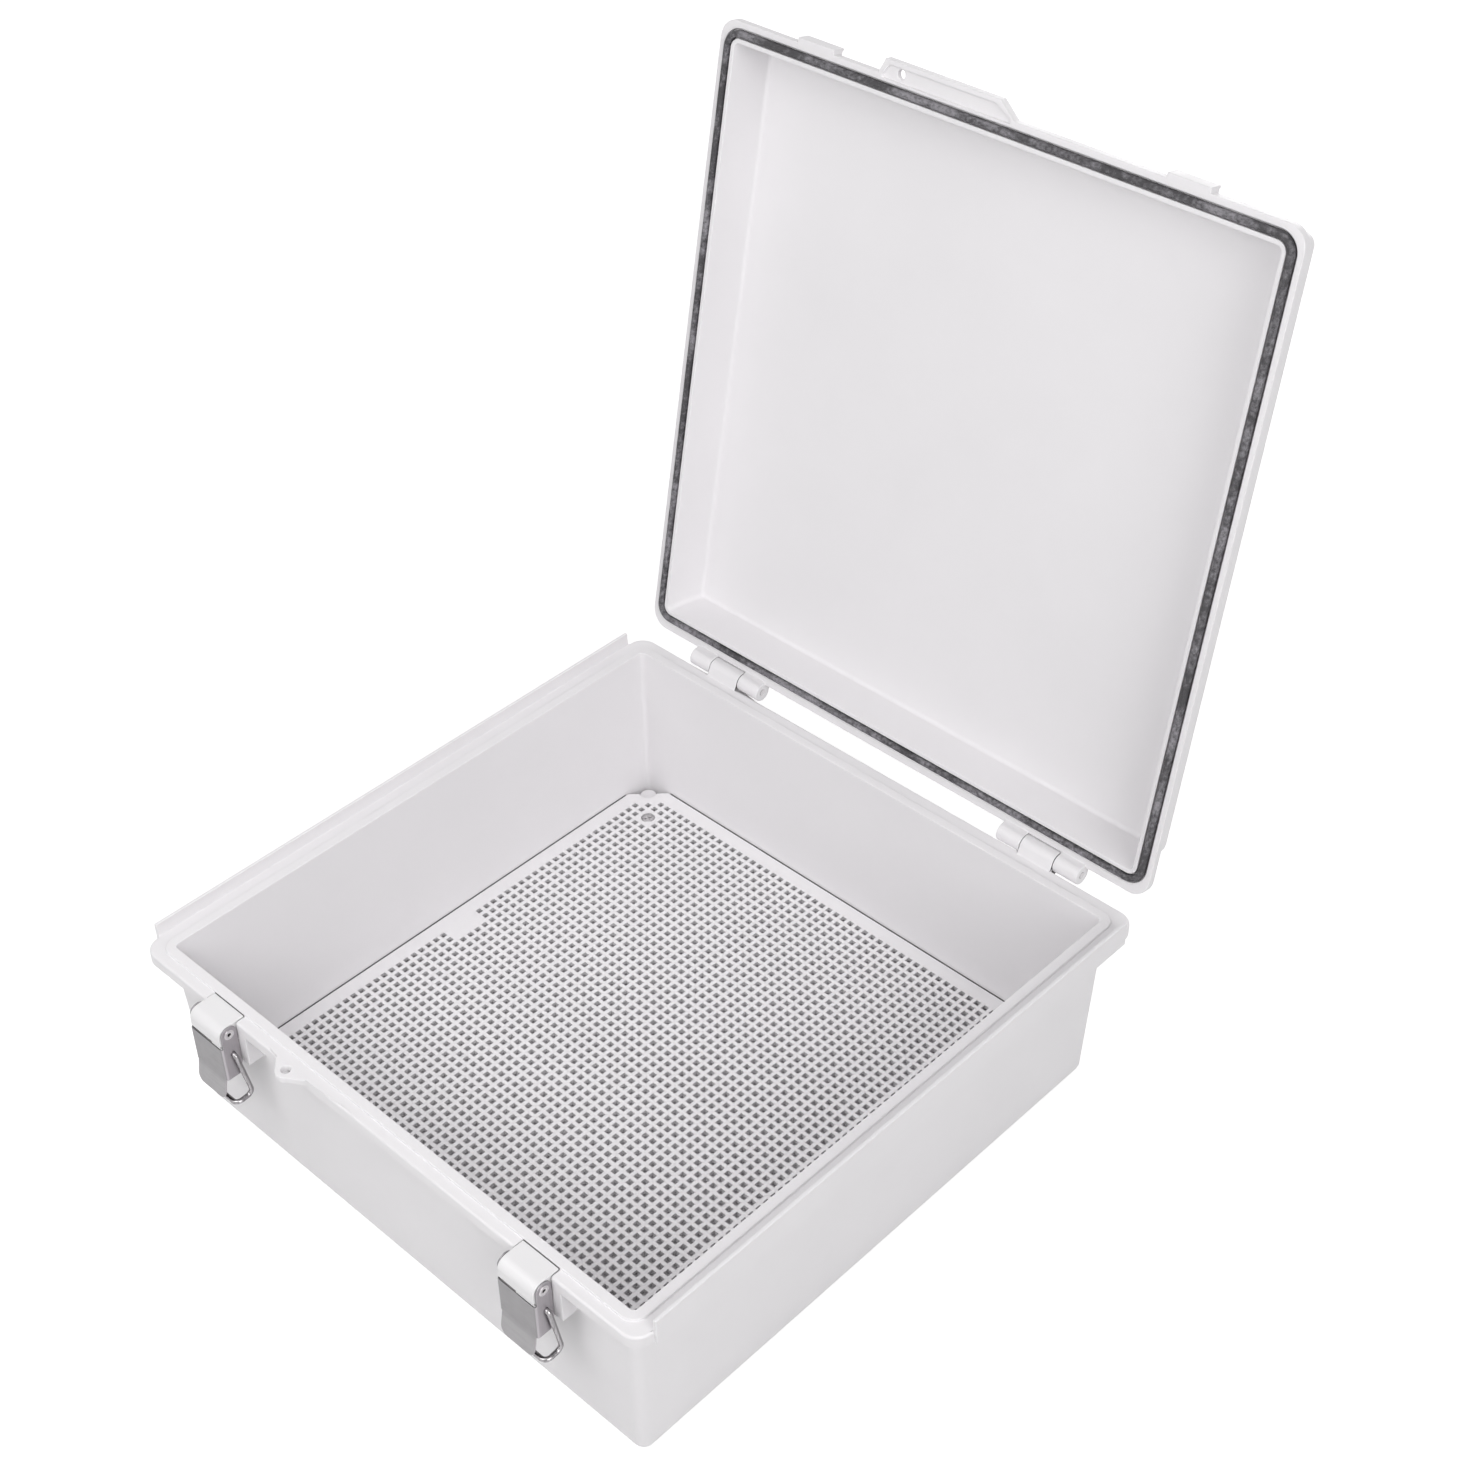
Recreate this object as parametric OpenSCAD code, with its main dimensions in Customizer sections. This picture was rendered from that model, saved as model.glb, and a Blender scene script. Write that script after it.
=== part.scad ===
// Hinged waterproof junction box with wire-bail latches and a perforated mounting plate.
// Millimetres. X to the right, front towards -Y, +Z up, origin at the centre of the underside.
// The lid is drawn open, resting back on its hinges.

/* [Tub] */
// Clear width of the mouth
opening_w = 370; // [300:1:460]
// Clear depth of the mouth, front to back
opening_d = 370; // [300:1:460]
// Height from the underside to the underside of the flange
tub_h = 109; // [80:1:160]
// Thickness of the tub's walls
wall_t = 3.2; // [2.4:0.1:4.5]
// Thickness of the tub's floor
floor_t = 4; // [3:0.5:6]
// Draft of the tub's walls, in degrees
tub_draft = 2.4; // [1:0.1:3]
// Radius of the upright corners, inside
corner_r = 3; // [2:0.5:8]
// Radius of the lower outer edge
bottom_edge_r = 3; // [1:0.5:6]

/* [Flange of the tub] */
// Thickness of the flange
flange_t = 8; // [6:0.5:12]
// Reach of the flange past the mouth, left and right
flange_side = 14.3; // [13:0.1:20]
// Reach of the flange past the mouth, at the front
flange_front = 12.5; // [11:0.1:16]
// Reach of the flange past the mouth, at the back
flange_back = 14.2; // [11:0.1:18]
// Corner radius of the flange
flange_r = 11; // [6:0.5:16]
// Width of the sealing lip round the mouth
lip_w = 6; // [4:0.5:8]
// Height of the sealing lip over the flange
lip_h = 1.6; // [1:0.1:4]
// Thickness of the side rails
rail_t = 2; // [1.5:0.1:3]
// Height of the side rails over the flange
rail_h = 8.7; // [4:0.1:12]
// Length that the side rails stop short of each flange end
rail_inset = 11.5; // [11:0.5:30]

/* [Posts and bosses] */
// Distance of the corner posts from the inside of the mouth
post_inset = 13.5; // [13:0.5:20]
// Diameter of the corner posts
post_d = 11; // [9:0.5:14]
// Height of the corner posts over the plate
post_over = 2; // [0:0.5:5]
// Diameter of the wall-fixing holes under the corner posts
wall_hole_d = 4.5; // [3:0.1:6]
// Depth of the wall-fixing holes
wall_hole_depth = 12; // [6:0.5:14]
// Diameter of the plate bosses
boss_d = 10; // [8:0.5:14]
// Height of the plate bosses over the floor
boss_h = 8.5; // [5:0.5:20]

/* [Mounting plate] */
// Thickness of the plate
plate_t = 3; // [2:0.5:5]
// Gap between the plate and the walls
plate_gap = 0.9; // [0.6:0.1:3]
// Distance of the plate screws from the plate's edges
screw_inset = 26.5; // [24:0.5:40]
// Leg of the cut-off plate corners
plate_corner = 19; // [10:0.5:21]
// Gap between the plate and the corner posts
post_gap = 0.7; // [0.4:0.1:2]
// Pitch of the openings in the plate
grid_pitch = 18; // [14:1:30]
// Width of the square openings in the plate
grid_hole = 10.5; // [6:0.5:11]
// Plain border of the plate
grid_border = 12; // [10:0.5:20]
// Diameter of the plate screws
screw_d = 3; // [2.5:0.1:4]
// Length of the plate screws under the head
screw_len = 8; // [6:0.5:9]
// Diameter of the screw heads
screw_head_d = 7.8; // [6:0.1:8.2]
// Height of the screw heads
screw_head_h = 1.7; // [1.2:0.1:2.4]
// Clearance round the screws
screw_clear = 0.15; // [0.1:0.05:0.4]
// Depth of the sinks that take the screw heads
sink_depth = 1.8; // [1:0.1:2]
// Gap between a screw head and the side of its sink
sink_gap = 0.7; // [0.4:0.1:0.9]
// Least wall between a sink and the openings in the plate
sink_wall = 0.6; // [0.4:0.1:1]

/* [Padlock eye] */
// Sideways place of the eye, from the middle
eye_x = -64.8; // [-90:0.1:60]
// Distance of the eye in front of the flange
eye_out = 2.8; // [2.8:0.1:5]
// Diameter of the eye's hole
eye_d = 5.4; // [3:0.2:5.4]
// Wall round the eye
eye_wall = 3.4; // [3:0.1:5]
// Thickness of the eye's lug
eye_t = 4; // [3:0.5:6]
// Length of the lug's slope on the left
eye_slope_left = 6; // [3:0.5:12]
// Length of the lug's slope on the right
eye_slope_right = 9; // [3:0.5:14]

/* [Lid] */
// Depth of the dish inside, from the inner lip
dish_depth = 30; // [15:0.5:60]
// Thickness of the lid's walls
lid_wall = 3.5; // [2.5:0.1:5]
// Draft of the dish's walls, in degrees
lid_draft = 4.8; // [2:0.1:8]
// Radius of the dish's outer top edge
lid_edge_r = 3; // [1:0.5:3.5]
// Radius of the fillet between the dish's walls and its panel
dish_fillet_r = 2.5; // [1:0.5:4]
// Width of the inner lip, between the mouth and the gasket
inner_lip_w = 2.8; // [2:0.1:5]
// Gap between the inner lip and the tub's lip when shut
lip_gap = 2; // [0.4:0.1:2.4]
// Reach of the rim past the mouth, left and right
rim_side = 12.6; // [11.8:0.1:18]
// Reach of the rim past the mouth, at the front
rim_front = 13; // [11.8:0.1:15]
// Reach of the rim past the mouth, at the back
rim_back = 15; // [11.8:0.1:15.4]
// Corner radius of the rim
rim_r = 12; // [10:0.5:16]
// Height of the rim's outer edge over the tub's lip when shut
rim_gap = 2.9; // [0.6:0.1:4]
// Thickness of the rim at its outer edge
rim_t = 5; // [4:0.5:8]

/* [Gasket] */
// Width of the gasket
gasket_w = 5.5; // [4:0.1:5.5]
// Gap between the gasket and the tub's lip when shut
gasket_gap = 0.3; // [0.3:0.1:0.5]
// Clearance on each side of the gasket in its channel
gasket_clear = 0.1; // [0.05:0.05:0.2]
// Thickness of the rim over the gasket
channel_roof = 2.2; // [1.5:0.1:3]

/* [Pull tab] */
// Length of the tab's outer edge
tab_len = 80; // [40:1:120]
// Reach of the tab past the rim
tab_out = 8.8; // [7:0.1:12]
// Length of the tab to the left of the padlock hole
tab_left = 11; // [8:0.5:20]
// Length of the slope at the tab's left end
tab_slope_left = 4; // [2:0.5:10]
// Length of the slope at the tab's right end
tab_slope_right = 11; // [2:0.5:20]
// Depth of the finger recess under the tab
tab_recess = 1.6; // [0.5:0.1:2.5]
// Wall round the finger recess
tab_wall = 3; // [2:0.1:3.4]
// Reach of the finger recess into the rim
tab_recess_in = 2.2; // [1.8:0.1:3]

/* [Hinges] */
// Distance of the hinges from the flange's ends
hinge_inset = 73.3; // [50:0.1:110]
// Distance of the hinge axis behind the flange
hinge_out = 5.8; // [5.6:0.1:9]
// Height of the hinge axis over the flange
hinge_up = 3.1; // [2.8:0.1:5]
// Diameter of the knuckles
knuckle_d = 12; // [9:0.2:12.4]
// Reach of the knuckles' sloped roots over the flange and over the rim
knuckle_ramp = 2; // [1:0.1:3]
// Gap between the tub's knuckle and the notch for it in the rim
notch_gap = 0.4; // [0.3:0.1:1]
// Width of the tub's middle knuckle
tub_knuckle_w = 24; // [14:0.5:40]
// Width of each lid knuckle
lid_knuckle_w = 17; // [10:0.2:30]
// Gap between neighbouring knuckles
knuckle_gap = 0.4; // [0.3:0.1:1]
// Diameter of the hinge pins
hinge_pin_d = 4; // [3:0.2:6]
// Angle to which the lid opens, in degrees
open_angle = 101.3; // [60:0.1:110]

/* [Latches] */
// Distance of the latches from the flange's ends
latch_inset = 73.3; // [50:0.1:110]
// Width of the moulded latch pads
pad_w = 40; // [34:1:60]
// Height of the latch pads under the flange
pad_h = 21; // [19:0.5:40]
// Width of the latch blocks
block_w = 26; // [22:0.5:32]
// Distance of the lever's axis in front of the flange
lever_out = 5.6; // [5.6:0.1:8]
// Depth of the lever's axis under the flange's top
lever_down = 4.7; // [4.5:0.1:6]
// Height of the block over the flange
block_over = 0.5; // [0:0.1:1]
// Radius of the block's rounded front
block_front_r = 6.2; // [5:0.1:6.4]
// Height of the block's front face under the lever's axis
block_front_h = 6.4; // [5:0.1:6.5]
// Depth of the block's foot in front of the pad
foot_t = 3.3; // [2.5:0.1:3.4]
// Clearance round the block in the flange
block_clear = 0.45; // [0.2:0.05:0.6]
// Width of the block's dovetail neck
rail_neck_w = 8; // [5:0.5:12]
// Width of the block's dovetail head
rail_head_w = 14; // [10:0.5:18]
// Thickness of the dovetail's neck and of its head
rail_step = 2.6; // [2:0.1:2.8]
// Clearance round the dovetail
rail_clear = 0.15; // [0.1:0.05:0.3]
// Thickness of the lever's sheet
sheet_t = 0.8; // [0.6:0.1:1.2]
// Gap between the block and the lever's cheeks
cheek_gap = 0.3; // [0.3:0.1:0.6]
// Gap between the cheeks' back edges and the flange
cheek_back_gap = 0.4; // [0.3:0.1:1]
// Height of the cheeks under the lever's axis
cheek_h = 32; // [26:0.5:40]
// Height of the lever's front sheet under the lever's axis at its upper edge
sheet_top = 8.3; // [7.2:0.1:10]
// Distance of the front sheet's outer face in front of the lever's axis
sheet_out = 6.6; // [6.4:0.1:8]
// Outer bend radius of the sheet
bend_r = 1.6; // [1.4:0.1:2.5]
// Length of the flared lip under the cheeks
flare_len = 14.2; // [8:0.1:14.5]
// Outward reach of the flared lip
flare_out = 2.6; // [0:0.1:3]
// Corner radius of the flared lip
flare_r = 5; // [2:0.5:8]
// Diameter of the rivet
rivet_d = 4; // [3:0.2:5]
// Diameter of the rivet's hole
rivet_hole_d = 2.2; // [1:0.2:2.4]
// Diameter of the rivet's flanges
rivet_head_d = 6.4; // [5.6:0.2:8]
// Thickness of the rivet's flanges
rivet_head_t = 0.4; // [0.2:0.1:0.6]

/* [Bails] */
// Diameter of the wire
wire_d = 3; // [2:0.2:3.4]
// Distance of the bail's pivot under the lever's axis
bail_drop = 15.3; // [12:0.1:18]
// Distance of the bail's pivot behind the lever's axis
bail_back = 0.3; // [0:0.1:0.6]
// Height of the bail's arms from pivot to elbow
arm_h = 33; // [33:0.1:40]
// Distance that the elbow lies behind the pivot
elbow_back = 5.8; // [3:0.1:7]
// Distance of the crossbar in front of the pivot
cross_out = 5.4; // [4:0.1:8]
// Distance of the crossbar under the elbow
cross_drop = 1.2; // [0:0.1:3]
// Gap between the arms and the rivet's flanges
arm_gap = 0.3; // [0.3:0.1:1]
// Length of the wire's ends inside the cheeks
wire_end = 2.4; // [1:0.1:4]
// Centre-line radius of the wire's bends
wire_bend_r = 3.6; // [2.4:0.1:4]
// Gap between the cheeks and the bends at the wire's ends
end_bend_gap = 0.2; // [0.1:0.1:0.4]

/* [Keepers] */
// Width of the keepers on the lid
keeper_w = 27; // [20:0.5:28]
// Reach of the keepers past the rim
keeper_out = 3; // [2:0.1:5]
// Depth of the keepers, front to back
keeper_d = 8; // [7:0.1:10]
// Thickness of the ridge that holds the bail
keeper_ridge_t = 1.6; // [1.2:0.1:1.8]
// Height of the ridge that holds the bail
keeper_ridge_h = 1.2; // [0.8:0.1:2]
// Clearance between the hooked bail and its keeper
hook_clear = 0.3; // [0.3:0.05:0.5]

/* [Fits] */
// Running clearance round every pin, on the radius
pin_clear = 0.05; // [0.02:0.01:0.1]

/* [Hidden] */

$fn = 64;
// Segments of a circle inside a blended shape
blend_fn = 32;
// Overlap that joins two solids of one piece, and the run-out of a cut
join = 1;
// Left and right, and front and back
SIDES = [-1, 1];
// Swell of a wire's bends, and the length that a straight run of the wire reaches into a bend
bend_swell = 0.02;
bend_reach = 0.25;
// Colours of the materials
abs_grey = "#e3e1e3";
abs_white = "#f0eff0";
foam_grey = "#504e52";
steel_grey = "#a9a7aa";
wire_grey = "#c4c2c4";

// Levels of the tub
flange_top = tub_h + flange_t;
lip_top = flange_top + lip_h;
plate_z = floor_t + boss_h;
plate_top = plate_z + plate_t;

// Half sizes of the tub's flange and its lip
flange_x = opening_w / 2 + flange_side;
flange_y = opening_d / 2 + flange_front;
flange_back_y = opening_d / 2 + flange_back;

// Levels of the shut lid
inner_lip_z = lip_top + lip_gap;
rim_z = lip_top + rim_gap;
rim_top = rim_z + rim_t;
gasket_z = lip_top + gasket_gap;
channel_z = rim_top - channel_roof;
dish_z = inner_lip_z + dish_depth;
lid_top = dish_z + lid_wall;

// Half sizes of the shut lid
rim_x = opening_w / 2 + rim_side;
rim_y = opening_d / 2 + rim_front;
rim_back_y = opening_d / 2 + rim_back;
// The dish starts a little outside the mouth
dish_start = 0.5;
channel_in = dish_start + inner_lip_w;
channel_out = channel_in + gasket_w + 2 * gasket_clear;

// Place of the hinges, their axis and the width of one hinge
hinge_x = flange_x - hinge_inset;
hinge_y = flange_back_y + hinge_out;
hinge_z = flange_top + hinge_up;
knuckle_r = knuckle_d / 2;
// A sloped root meets a circle a little smaller than its knuckle
ramp_r = 0.97 * knuckle_r;
lid_knuckle_x = tub_knuckle_w / 2 + knuckle_gap + lid_knuckle_w / 2;
hinge_len = tub_knuckle_w + 2 * knuckle_gap + 2 * lid_knuckle_w;

// Plate: half sizes at its own level, screw places and the grid
plate_x = opening_w / 2 - (lip_top - plate_z) * tan(tub_draft) - plate_gap;
plate_y = opening_d / 2 - (lip_top - plate_z) * tan(tub_draft) - plate_gap;
screw_x = plate_x - screw_inset;
screw_y = plate_y - screw_inset;
seat_z = plate_top - sink_depth;
sink_r = screw_head_d / 2 + sink_gap;
post_x = opening_w / 2 - post_inset;
post_y = opening_d / 2 - post_inset;
grid_cols = floor((plate_x - grid_border - grid_hole / 2) / grid_pitch);
grid_rows = floor((plate_y - grid_border - grid_hole / 2) / grid_pitch);

// Latch: its place, axis of the lever, half width of its cheeks, place of the bail
latch_x = flange_x - latch_inset;
lever_y = -flange_y - lever_out;
lever_z = flange_top - lever_down;
cheek_in = block_w / 2 + cheek_gap;
cheek_out = cheek_in + sheet_t;
cheek_r = lever_out - cheek_back_gap;
bail_y = lever_y + bail_back;
bail_z = lever_z - bail_drop;
arm_x = cheek_out + rivet_head_t + arm_gap + wire_d / 2;
end_bend_r = arm_x - cheek_out - end_bend_gap;
pad_z = tub_h - pad_h;
notch_z = tub_h - 2 * rail_step;
block_back = flange_front - lip_w + lever_out - block_clear;
foot_front = lever_out - foot_t;

// Keeper: its floor lies under the crossbar of a bail turned straight up
hook_z = bail_z + arm_h + cross_drop - wire_d / 2 - hook_clear;

// Padlock eye and pull tab
eye_y = -flange_y - eye_out;
eye_r = eye_d / 2 + eye_wall;
tab_x = eye_x - tab_left;

// Rectangle with round corners, centred
module round_rect(w, d, r) {
  square([w - 2 * r, d], center = true);
  square([w, d - 2 * r], center = true);
  for (sx = SIDES, sy = SIDES)
    translate([sx * (w / 2 - r), sy * (d / 2 - r)])
      circle(r);
}

// Thin slab at height z, grown from the mouth by the same amount all round
module slab(z, grow, r) {
  translate([0, 0, z])
    linear_extrude(0.01)
      round_rect(opening_w + 2 * grow, opening_d + 2 * grow, r, $fn = blend_fn);
}

// Profile drawn in Y and Z, drawn out along X
module along_x(w) {
  rotate([90, 0, 90])
    linear_extrude(w, center = true)
      children();
}

// Profile drawn forwards and upwards from a lever's axis, drawn out along X
module latch_profile(w) {
  translate([0, lever_y, lever_z])
    along_x(w)
      mirror([1, 0])
        children();
}

module at_latch(side) {
  translate([side * latch_x, 0, 0])
    children();
}

module at_hinge(side) {
  translate([side * hinge_x, hinge_y, hinge_z])
    children();
}

// Turns the shut lid back to where it rests open
module opened() {
  translate([0, hinge_y, hinge_z])
    rotate([-open_angle, 0, 0])
      translate([0, -hinge_y, -hinge_z])
        children();
}

// Cylinder along X, centred
module x_cylinder(d, w) {
  rotate([0, 90, 0])
    cylinder(d = d, h = w, center = true);
}

// Growth of the tub's inside at height z
function tub_grow(z) = -(lip_top - z) * tan(tub_draft);
// Growth of the dish's inside at height z
function dish_grow(z) = dish_start - (z - inner_lip_z) * tan(lid_draft);

module tub_outside() {
  hull() {
    for (a = [0 : 30 : 90]) {
      z = bottom_edge_r * (1 - sin(a));
      slab(z, tub_grow(z) + wall_t - bottom_edge_r * (1 - cos(a)), corner_r + wall_t);
    }
    slab(tub_h, tub_grow(tub_h) + wall_t, corner_r + wall_t);
  }
}

module tub_inside() {
  hull() {
    slab(floor_t, tub_grow(floor_t), corner_r);
    slab(lip_top + join, tub_grow(lip_top + join), corner_r);
  }
}

module flange_and_lip() {
  translate([0, (flange_back - flange_front) / 2, tub_h])
    linear_extrude(flange_t)
      round_rect(2 * flange_x, flange_y + flange_back_y, flange_r);
  translate([0, 0, flange_top - join])
    linear_extrude(lip_h + join)
      round_rect(opening_w + 2 * lip_w, opening_d + 2 * lip_w, corner_r + lip_w);
  for (side = SIDES)
    translate([side * flange_x, 0, tub_h])
      mirror([side < 0 ? 1 : 0, 0])
        translate([-join / 4, -flange_y + rail_inset])
          cube([rail_t + join / 4, 2 * (flange_y - rail_inset), flange_t + rail_h]);
}

// Point where a line from p touches the circle that the sloped roots meet, on one side of it
function ramp_point(p, side) =
  let (a = atan2(p[1], p[0]) + side * acos(ramp_r / norm(p)))
    ramp_r * [cos(a), sin(a)];

// Middle knuckle of a hinge with the sloped root that carries it
module tub_knuckle() {
  root = [-hinge_out - knuckle_ramp, -hinge_up];
  x_cylinder(knuckle_d, tub_knuckle_w);
  along_x(tub_knuckle_w)
    polygon([
      root,
      root - [0, flange_t],
      [-hinge_out + join, -hinge_up - flange_t],
      [ramp_r * cos(-35), ramp_r * sin(-35)],
      [0, 0],
      ramp_point(root, -1)
    ]);
}

// Outline of the lug that carries the padlock eye
module eye_outline() {
  translate([eye_x, eye_y])
    circle(eye_r);
  polygon([
    [eye_x - eye_r - eye_slope_left, -flange_y + join],
    [eye_x - eye_r - eye_slope_left, -flange_y],
    [eye_x - eye_r * cos(40), eye_y - eye_r * sin(40)],
    [eye_x + eye_r * cos(40), eye_y - eye_r * sin(40)],
    [eye_x + eye_r + eye_slope_right, -flange_y],
    [eye_x + eye_r + eye_slope_right, -flange_y + join]
  ]);
}

module latch_pad() {
  translate([-pad_w / 2, -flange_y, pad_z])
    cube([pad_w, flange_front, pad_h + join]);
}

// Pocket in the flange and the undercut slot below it, which take a latch block
module block_pocket() {
  half = block_w / 2 + block_clear;
  translate([-half, -flange_y - join, notch_z])
    cube([2 * half, flange_front - lip_w + join, flange_top + join - notch_z]);
  dovetail(rail_clear, -flange_y - join, notch_z + join);
}

// T-shaped rail, or its slot with a clearance, from the pad's face inwards
module dovetail(clear, front, top) {
  bottom = pad_z + foot_t - clear;
  neck = rail_neck_w + 2 * clear;
  head = rail_head_w + 2 * clear;
  translate([-neck / 2, front, bottom])
    cube([neck, -flange_y + rail_step + join / 4 - front, top - bottom]);
  translate([-head / 2, -flange_y + rail_step - clear, bottom])
    cube([head, rail_step + 2 * clear, top - bottom]);
}

module base_shell() {
  color(abs_grey)
    difference() {
      union() {
        difference() {
          union() {
            tub_outside();
            flange_and_lip();
            translate([0, 0, flange_top - eye_t])
              linear_extrude(eye_t)
                eye_outline();
            for (side = SIDES) {
              at_latch(side) latch_pad();
              at_hinge(side) tub_knuckle();
            }
          }
          tub_inside();
        }
        for (sx = SIDES, sy = SIDES) {
          translate([sx * post_x, sy * post_y, floor_t - join])
            cylinder(d = post_d, h = plate_top + post_over - floor_t + join);
          translate([sx * screw_x, sy * screw_y, floor_t - join])
            cylinder(d = boss_d, h = boss_h + join);
        }
      }
      for (side = SIDES) {
        at_latch(side) block_pocket();
        at_hinge(side) x_cylinder(hinge_pin_d + 2 * pin_clear, tub_knuckle_w + join);
      }
      translate([eye_x, eye_y, flange_top - flange_t - join])
        cylinder(d = eye_d, h = flange_t + 2 * join);
      for (sx = SIDES, sy = SIDES) {
        translate([sx * post_x, sy * post_y, -join])
          cylinder(d = wall_hole_d, h = wall_hole_depth + join);
        translate([sx * screw_x, sy * screw_y, seat_z - screw_len - screw_clear])
          cylinder(d = screw_d + 2 * screw_clear, h = screw_len);
      }
    }
}

module dish_outside() {
  hull() {
    slab(rim_z, dish_grow(rim_z) + lid_wall, corner_r + lid_wall);
    for (a = [0 : 30 : 90]) {
      z = lid_top - lid_edge_r * (1 - sin(a));
      slab(z - 0.01, dish_grow(z) + lid_wall - lid_edge_r * (1 - cos(a)), corner_r + lid_wall);
    }
  }
}

module dish_inside() {
  hull() {
    slab(inner_lip_z - join, dish_grow(inner_lip_z - join), corner_r);
    for (a = [0 : 30 : 90]) {
      z = dish_z - dish_fillet_r * (1 - sin(a));
      slab(z, dish_grow(z) - dish_fillet_r * (1 - cos(a)), corner_r);
    }
  }
}

// Ring round the mouth between two distances from it
module ring(inner, outer, r) {
  difference() {
    round_rect(opening_w + 2 * outer, opening_d + 2 * outer, r + outer);
    round_rect(opening_w + 2 * inner, opening_d + 2 * inner, r + inner);
  }
}

// One lid knuckle with the sloped root that carries it, about the hinge axis
module lid_knuckle() {
  back = rim_back_y - hinge_y;
  root = [back - knuckle_ramp, rim_z - hinge_z];
  x_cylinder(knuckle_d, lid_knuckle_w);
  along_x(lid_knuckle_w)
    polygon([
      root,
      root + [0, rim_t],
      [back, rim_top - hinge_z],
      [0, ramp_r],
      [0, 0],
      ramp_point(root, 1)
    ]);
}

// Outline of the pull tab, or of the recess under it, from inside the rim's edge outwards
module tab_outline(inset, root) {
  polygon([
    [tab_x - tab_slope_left + inset, -rim_y + root],
    [tab_x - tab_slope_left + inset, -rim_y],
    [tab_x + inset, -rim_y - tab_out + inset],
    [tab_x + tab_len - inset, -rim_y - tab_out + inset],
    [tab_x + tab_len + tab_slope_right - inset, -rim_y],
    [tab_x + tab_len + tab_slope_right - inset, -rim_y + root]
  ]);
}

// Hook on the rim that a bail drops behind
module keeper() {
  front = -rim_y - keeper_out;
  along_x(keeper_w)
    polygon([
      [front, rim_z],
      [front + keeper_d, rim_z],
      [front + keeper_d, hook_z],
      [front + keeper_ridge_t, hook_z],
      [front + keeper_ridge_t, hook_z + keeper_ridge_h],
      [front, hook_z + keeper_ridge_h / 2]
    ]);
}

module shut_lid() {
  difference() {
    union() {
      translate([0, (rim_back - rim_front) / 2, rim_z])
        linear_extrude(rim_t)
          round_rect(2 * rim_x, rim_y + rim_back_y, rim_r);
      translate([0, 0, inner_lip_z])
        linear_extrude(rim_top - inner_lip_z)
          round_rect(opening_w + 2 * channel_in, opening_d + 2 * channel_in, corner_r + channel_in);
      translate([0, 0, rim_z])
        linear_extrude(rim_t)
          tab_outline(0, join);
      dish_outside();
      for (side = SIDES) {
        at_latch(side) keeper();
        for (end = SIDES)
          at_hinge(side)
            translate([end * lid_knuckle_x, 0, 0])
              lid_knuckle();
      }
    }
    dish_inside();
    translate([0, 0, inner_lip_z - join])
      linear_extrude(channel_z - inner_lip_z + join)
        ring(channel_in, channel_out, corner_r);
    translate([0, 0, rim_z - join])
      linear_extrude(tab_recess + join)
        tab_outline(tab_wall, tab_recess_in);
    translate([eye_x, eye_y, rim_z - join])
      cylinder(d = eye_d, h = rim_t + 2 * join);
    for (side = SIDES)
      at_hinge(side) {
        x_cylinder(hinge_pin_d + 2 * pin_clear, hinge_len + join);
        x_cylinder(knuckle_d + 2 * notch_gap, tub_knuckle_w + 2 * knuckle_gap);
      }
  }
}

module lid_shell() {
  color(abs_grey)
    opened()
      shut_lid();
}

module lid_gasket() {
  color(foam_grey)
    opened()
      translate([0, 0, gasket_z])
        linear_extrude(channel_z - gasket_z)
          ring(channel_in + gasket_clear, channel_out - gasket_clear, corner_r);
}

module hinge_pin(side) {
  color(steel_grey)
    at_hinge(side)
      x_cylinder(hinge_pin_d, hinge_len);
}

// Distance from the nearest plate screw to an opening, along one axis
function screw_off(index, place) = max(abs(abs(index * grid_pitch) - place) - grid_hole / 2, 0);

// Whether the plate has an opening in this column and row: not in the corners, not beside a sink,
// and not in the plain patch in the middle of the left edge
function grid_open(col, row) =
  !(abs(col) == grid_cols && abs(row) == grid_rows) && !(col == -grid_cols && row == 0)
  && norm([screw_off(col, screw_x), screw_off(row, screw_y)]) > sink_r + sink_wall;

module mounting_plate() {
  color(abs_grey)
    translate([0, 0, plate_z])
      difference() {
        linear_extrude(plate_t)
          polygon([
            for (corner = [[1, 1], [-1, 1], [-1, -1], [1, -1]], end = [0, 1])
              let (first = corner[0] * corner[1] > 0 ? end : 1 - end)
                [
                  corner[0] * (plate_x - first * plate_corner),
                  corner[1] * (plate_y - (1 - first) * plate_corner)
                ]
          ]);
        for (sx = SIDES, sy = SIDES) {
          translate([sx * post_x, sy * post_y, -join])
            cylinder(d = post_d + 2 * post_gap, h = plate_t + 2 * join);
          translate([sx * screw_x, sy * screw_y, -join])
            cylinder(d = screw_d + 2 * screw_clear, h = plate_t + 2 * join);
          translate([sx * screw_x, sy * screw_y, plate_t - sink_depth])
            cylinder(r = sink_r, h = sink_depth + join);
        }
        for (col = [-grid_cols : grid_cols], row = [-grid_rows : grid_rows])
          if (grid_open(col, row))
            translate([col * grid_pitch - grid_hole / 2, row * grid_pitch - grid_hole / 2, -join])
              cube([grid_hole, grid_hole, plate_t + 2 * join]);
      }
}

// Pan-head screw that sits in its sink
module plate_screw(sx, sy) {
  crown_r = (pow(screw_head_d / 2, 2) + pow(screw_head_h, 2)) / (2 * screw_head_h);
  color(steel_grey)
    translate([sx * screw_x, sy * screw_y, seat_z]) {
      intersection() {
        cylinder(d = screw_head_d, h = screw_head_h);
        translate([0, 0, screw_head_h - crown_r])
          sphere(crown_r);
      }
      translate([0, 0, -screw_len])
        cylinder(d = screw_d, h = screw_len + join / 2);
    }
}

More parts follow.
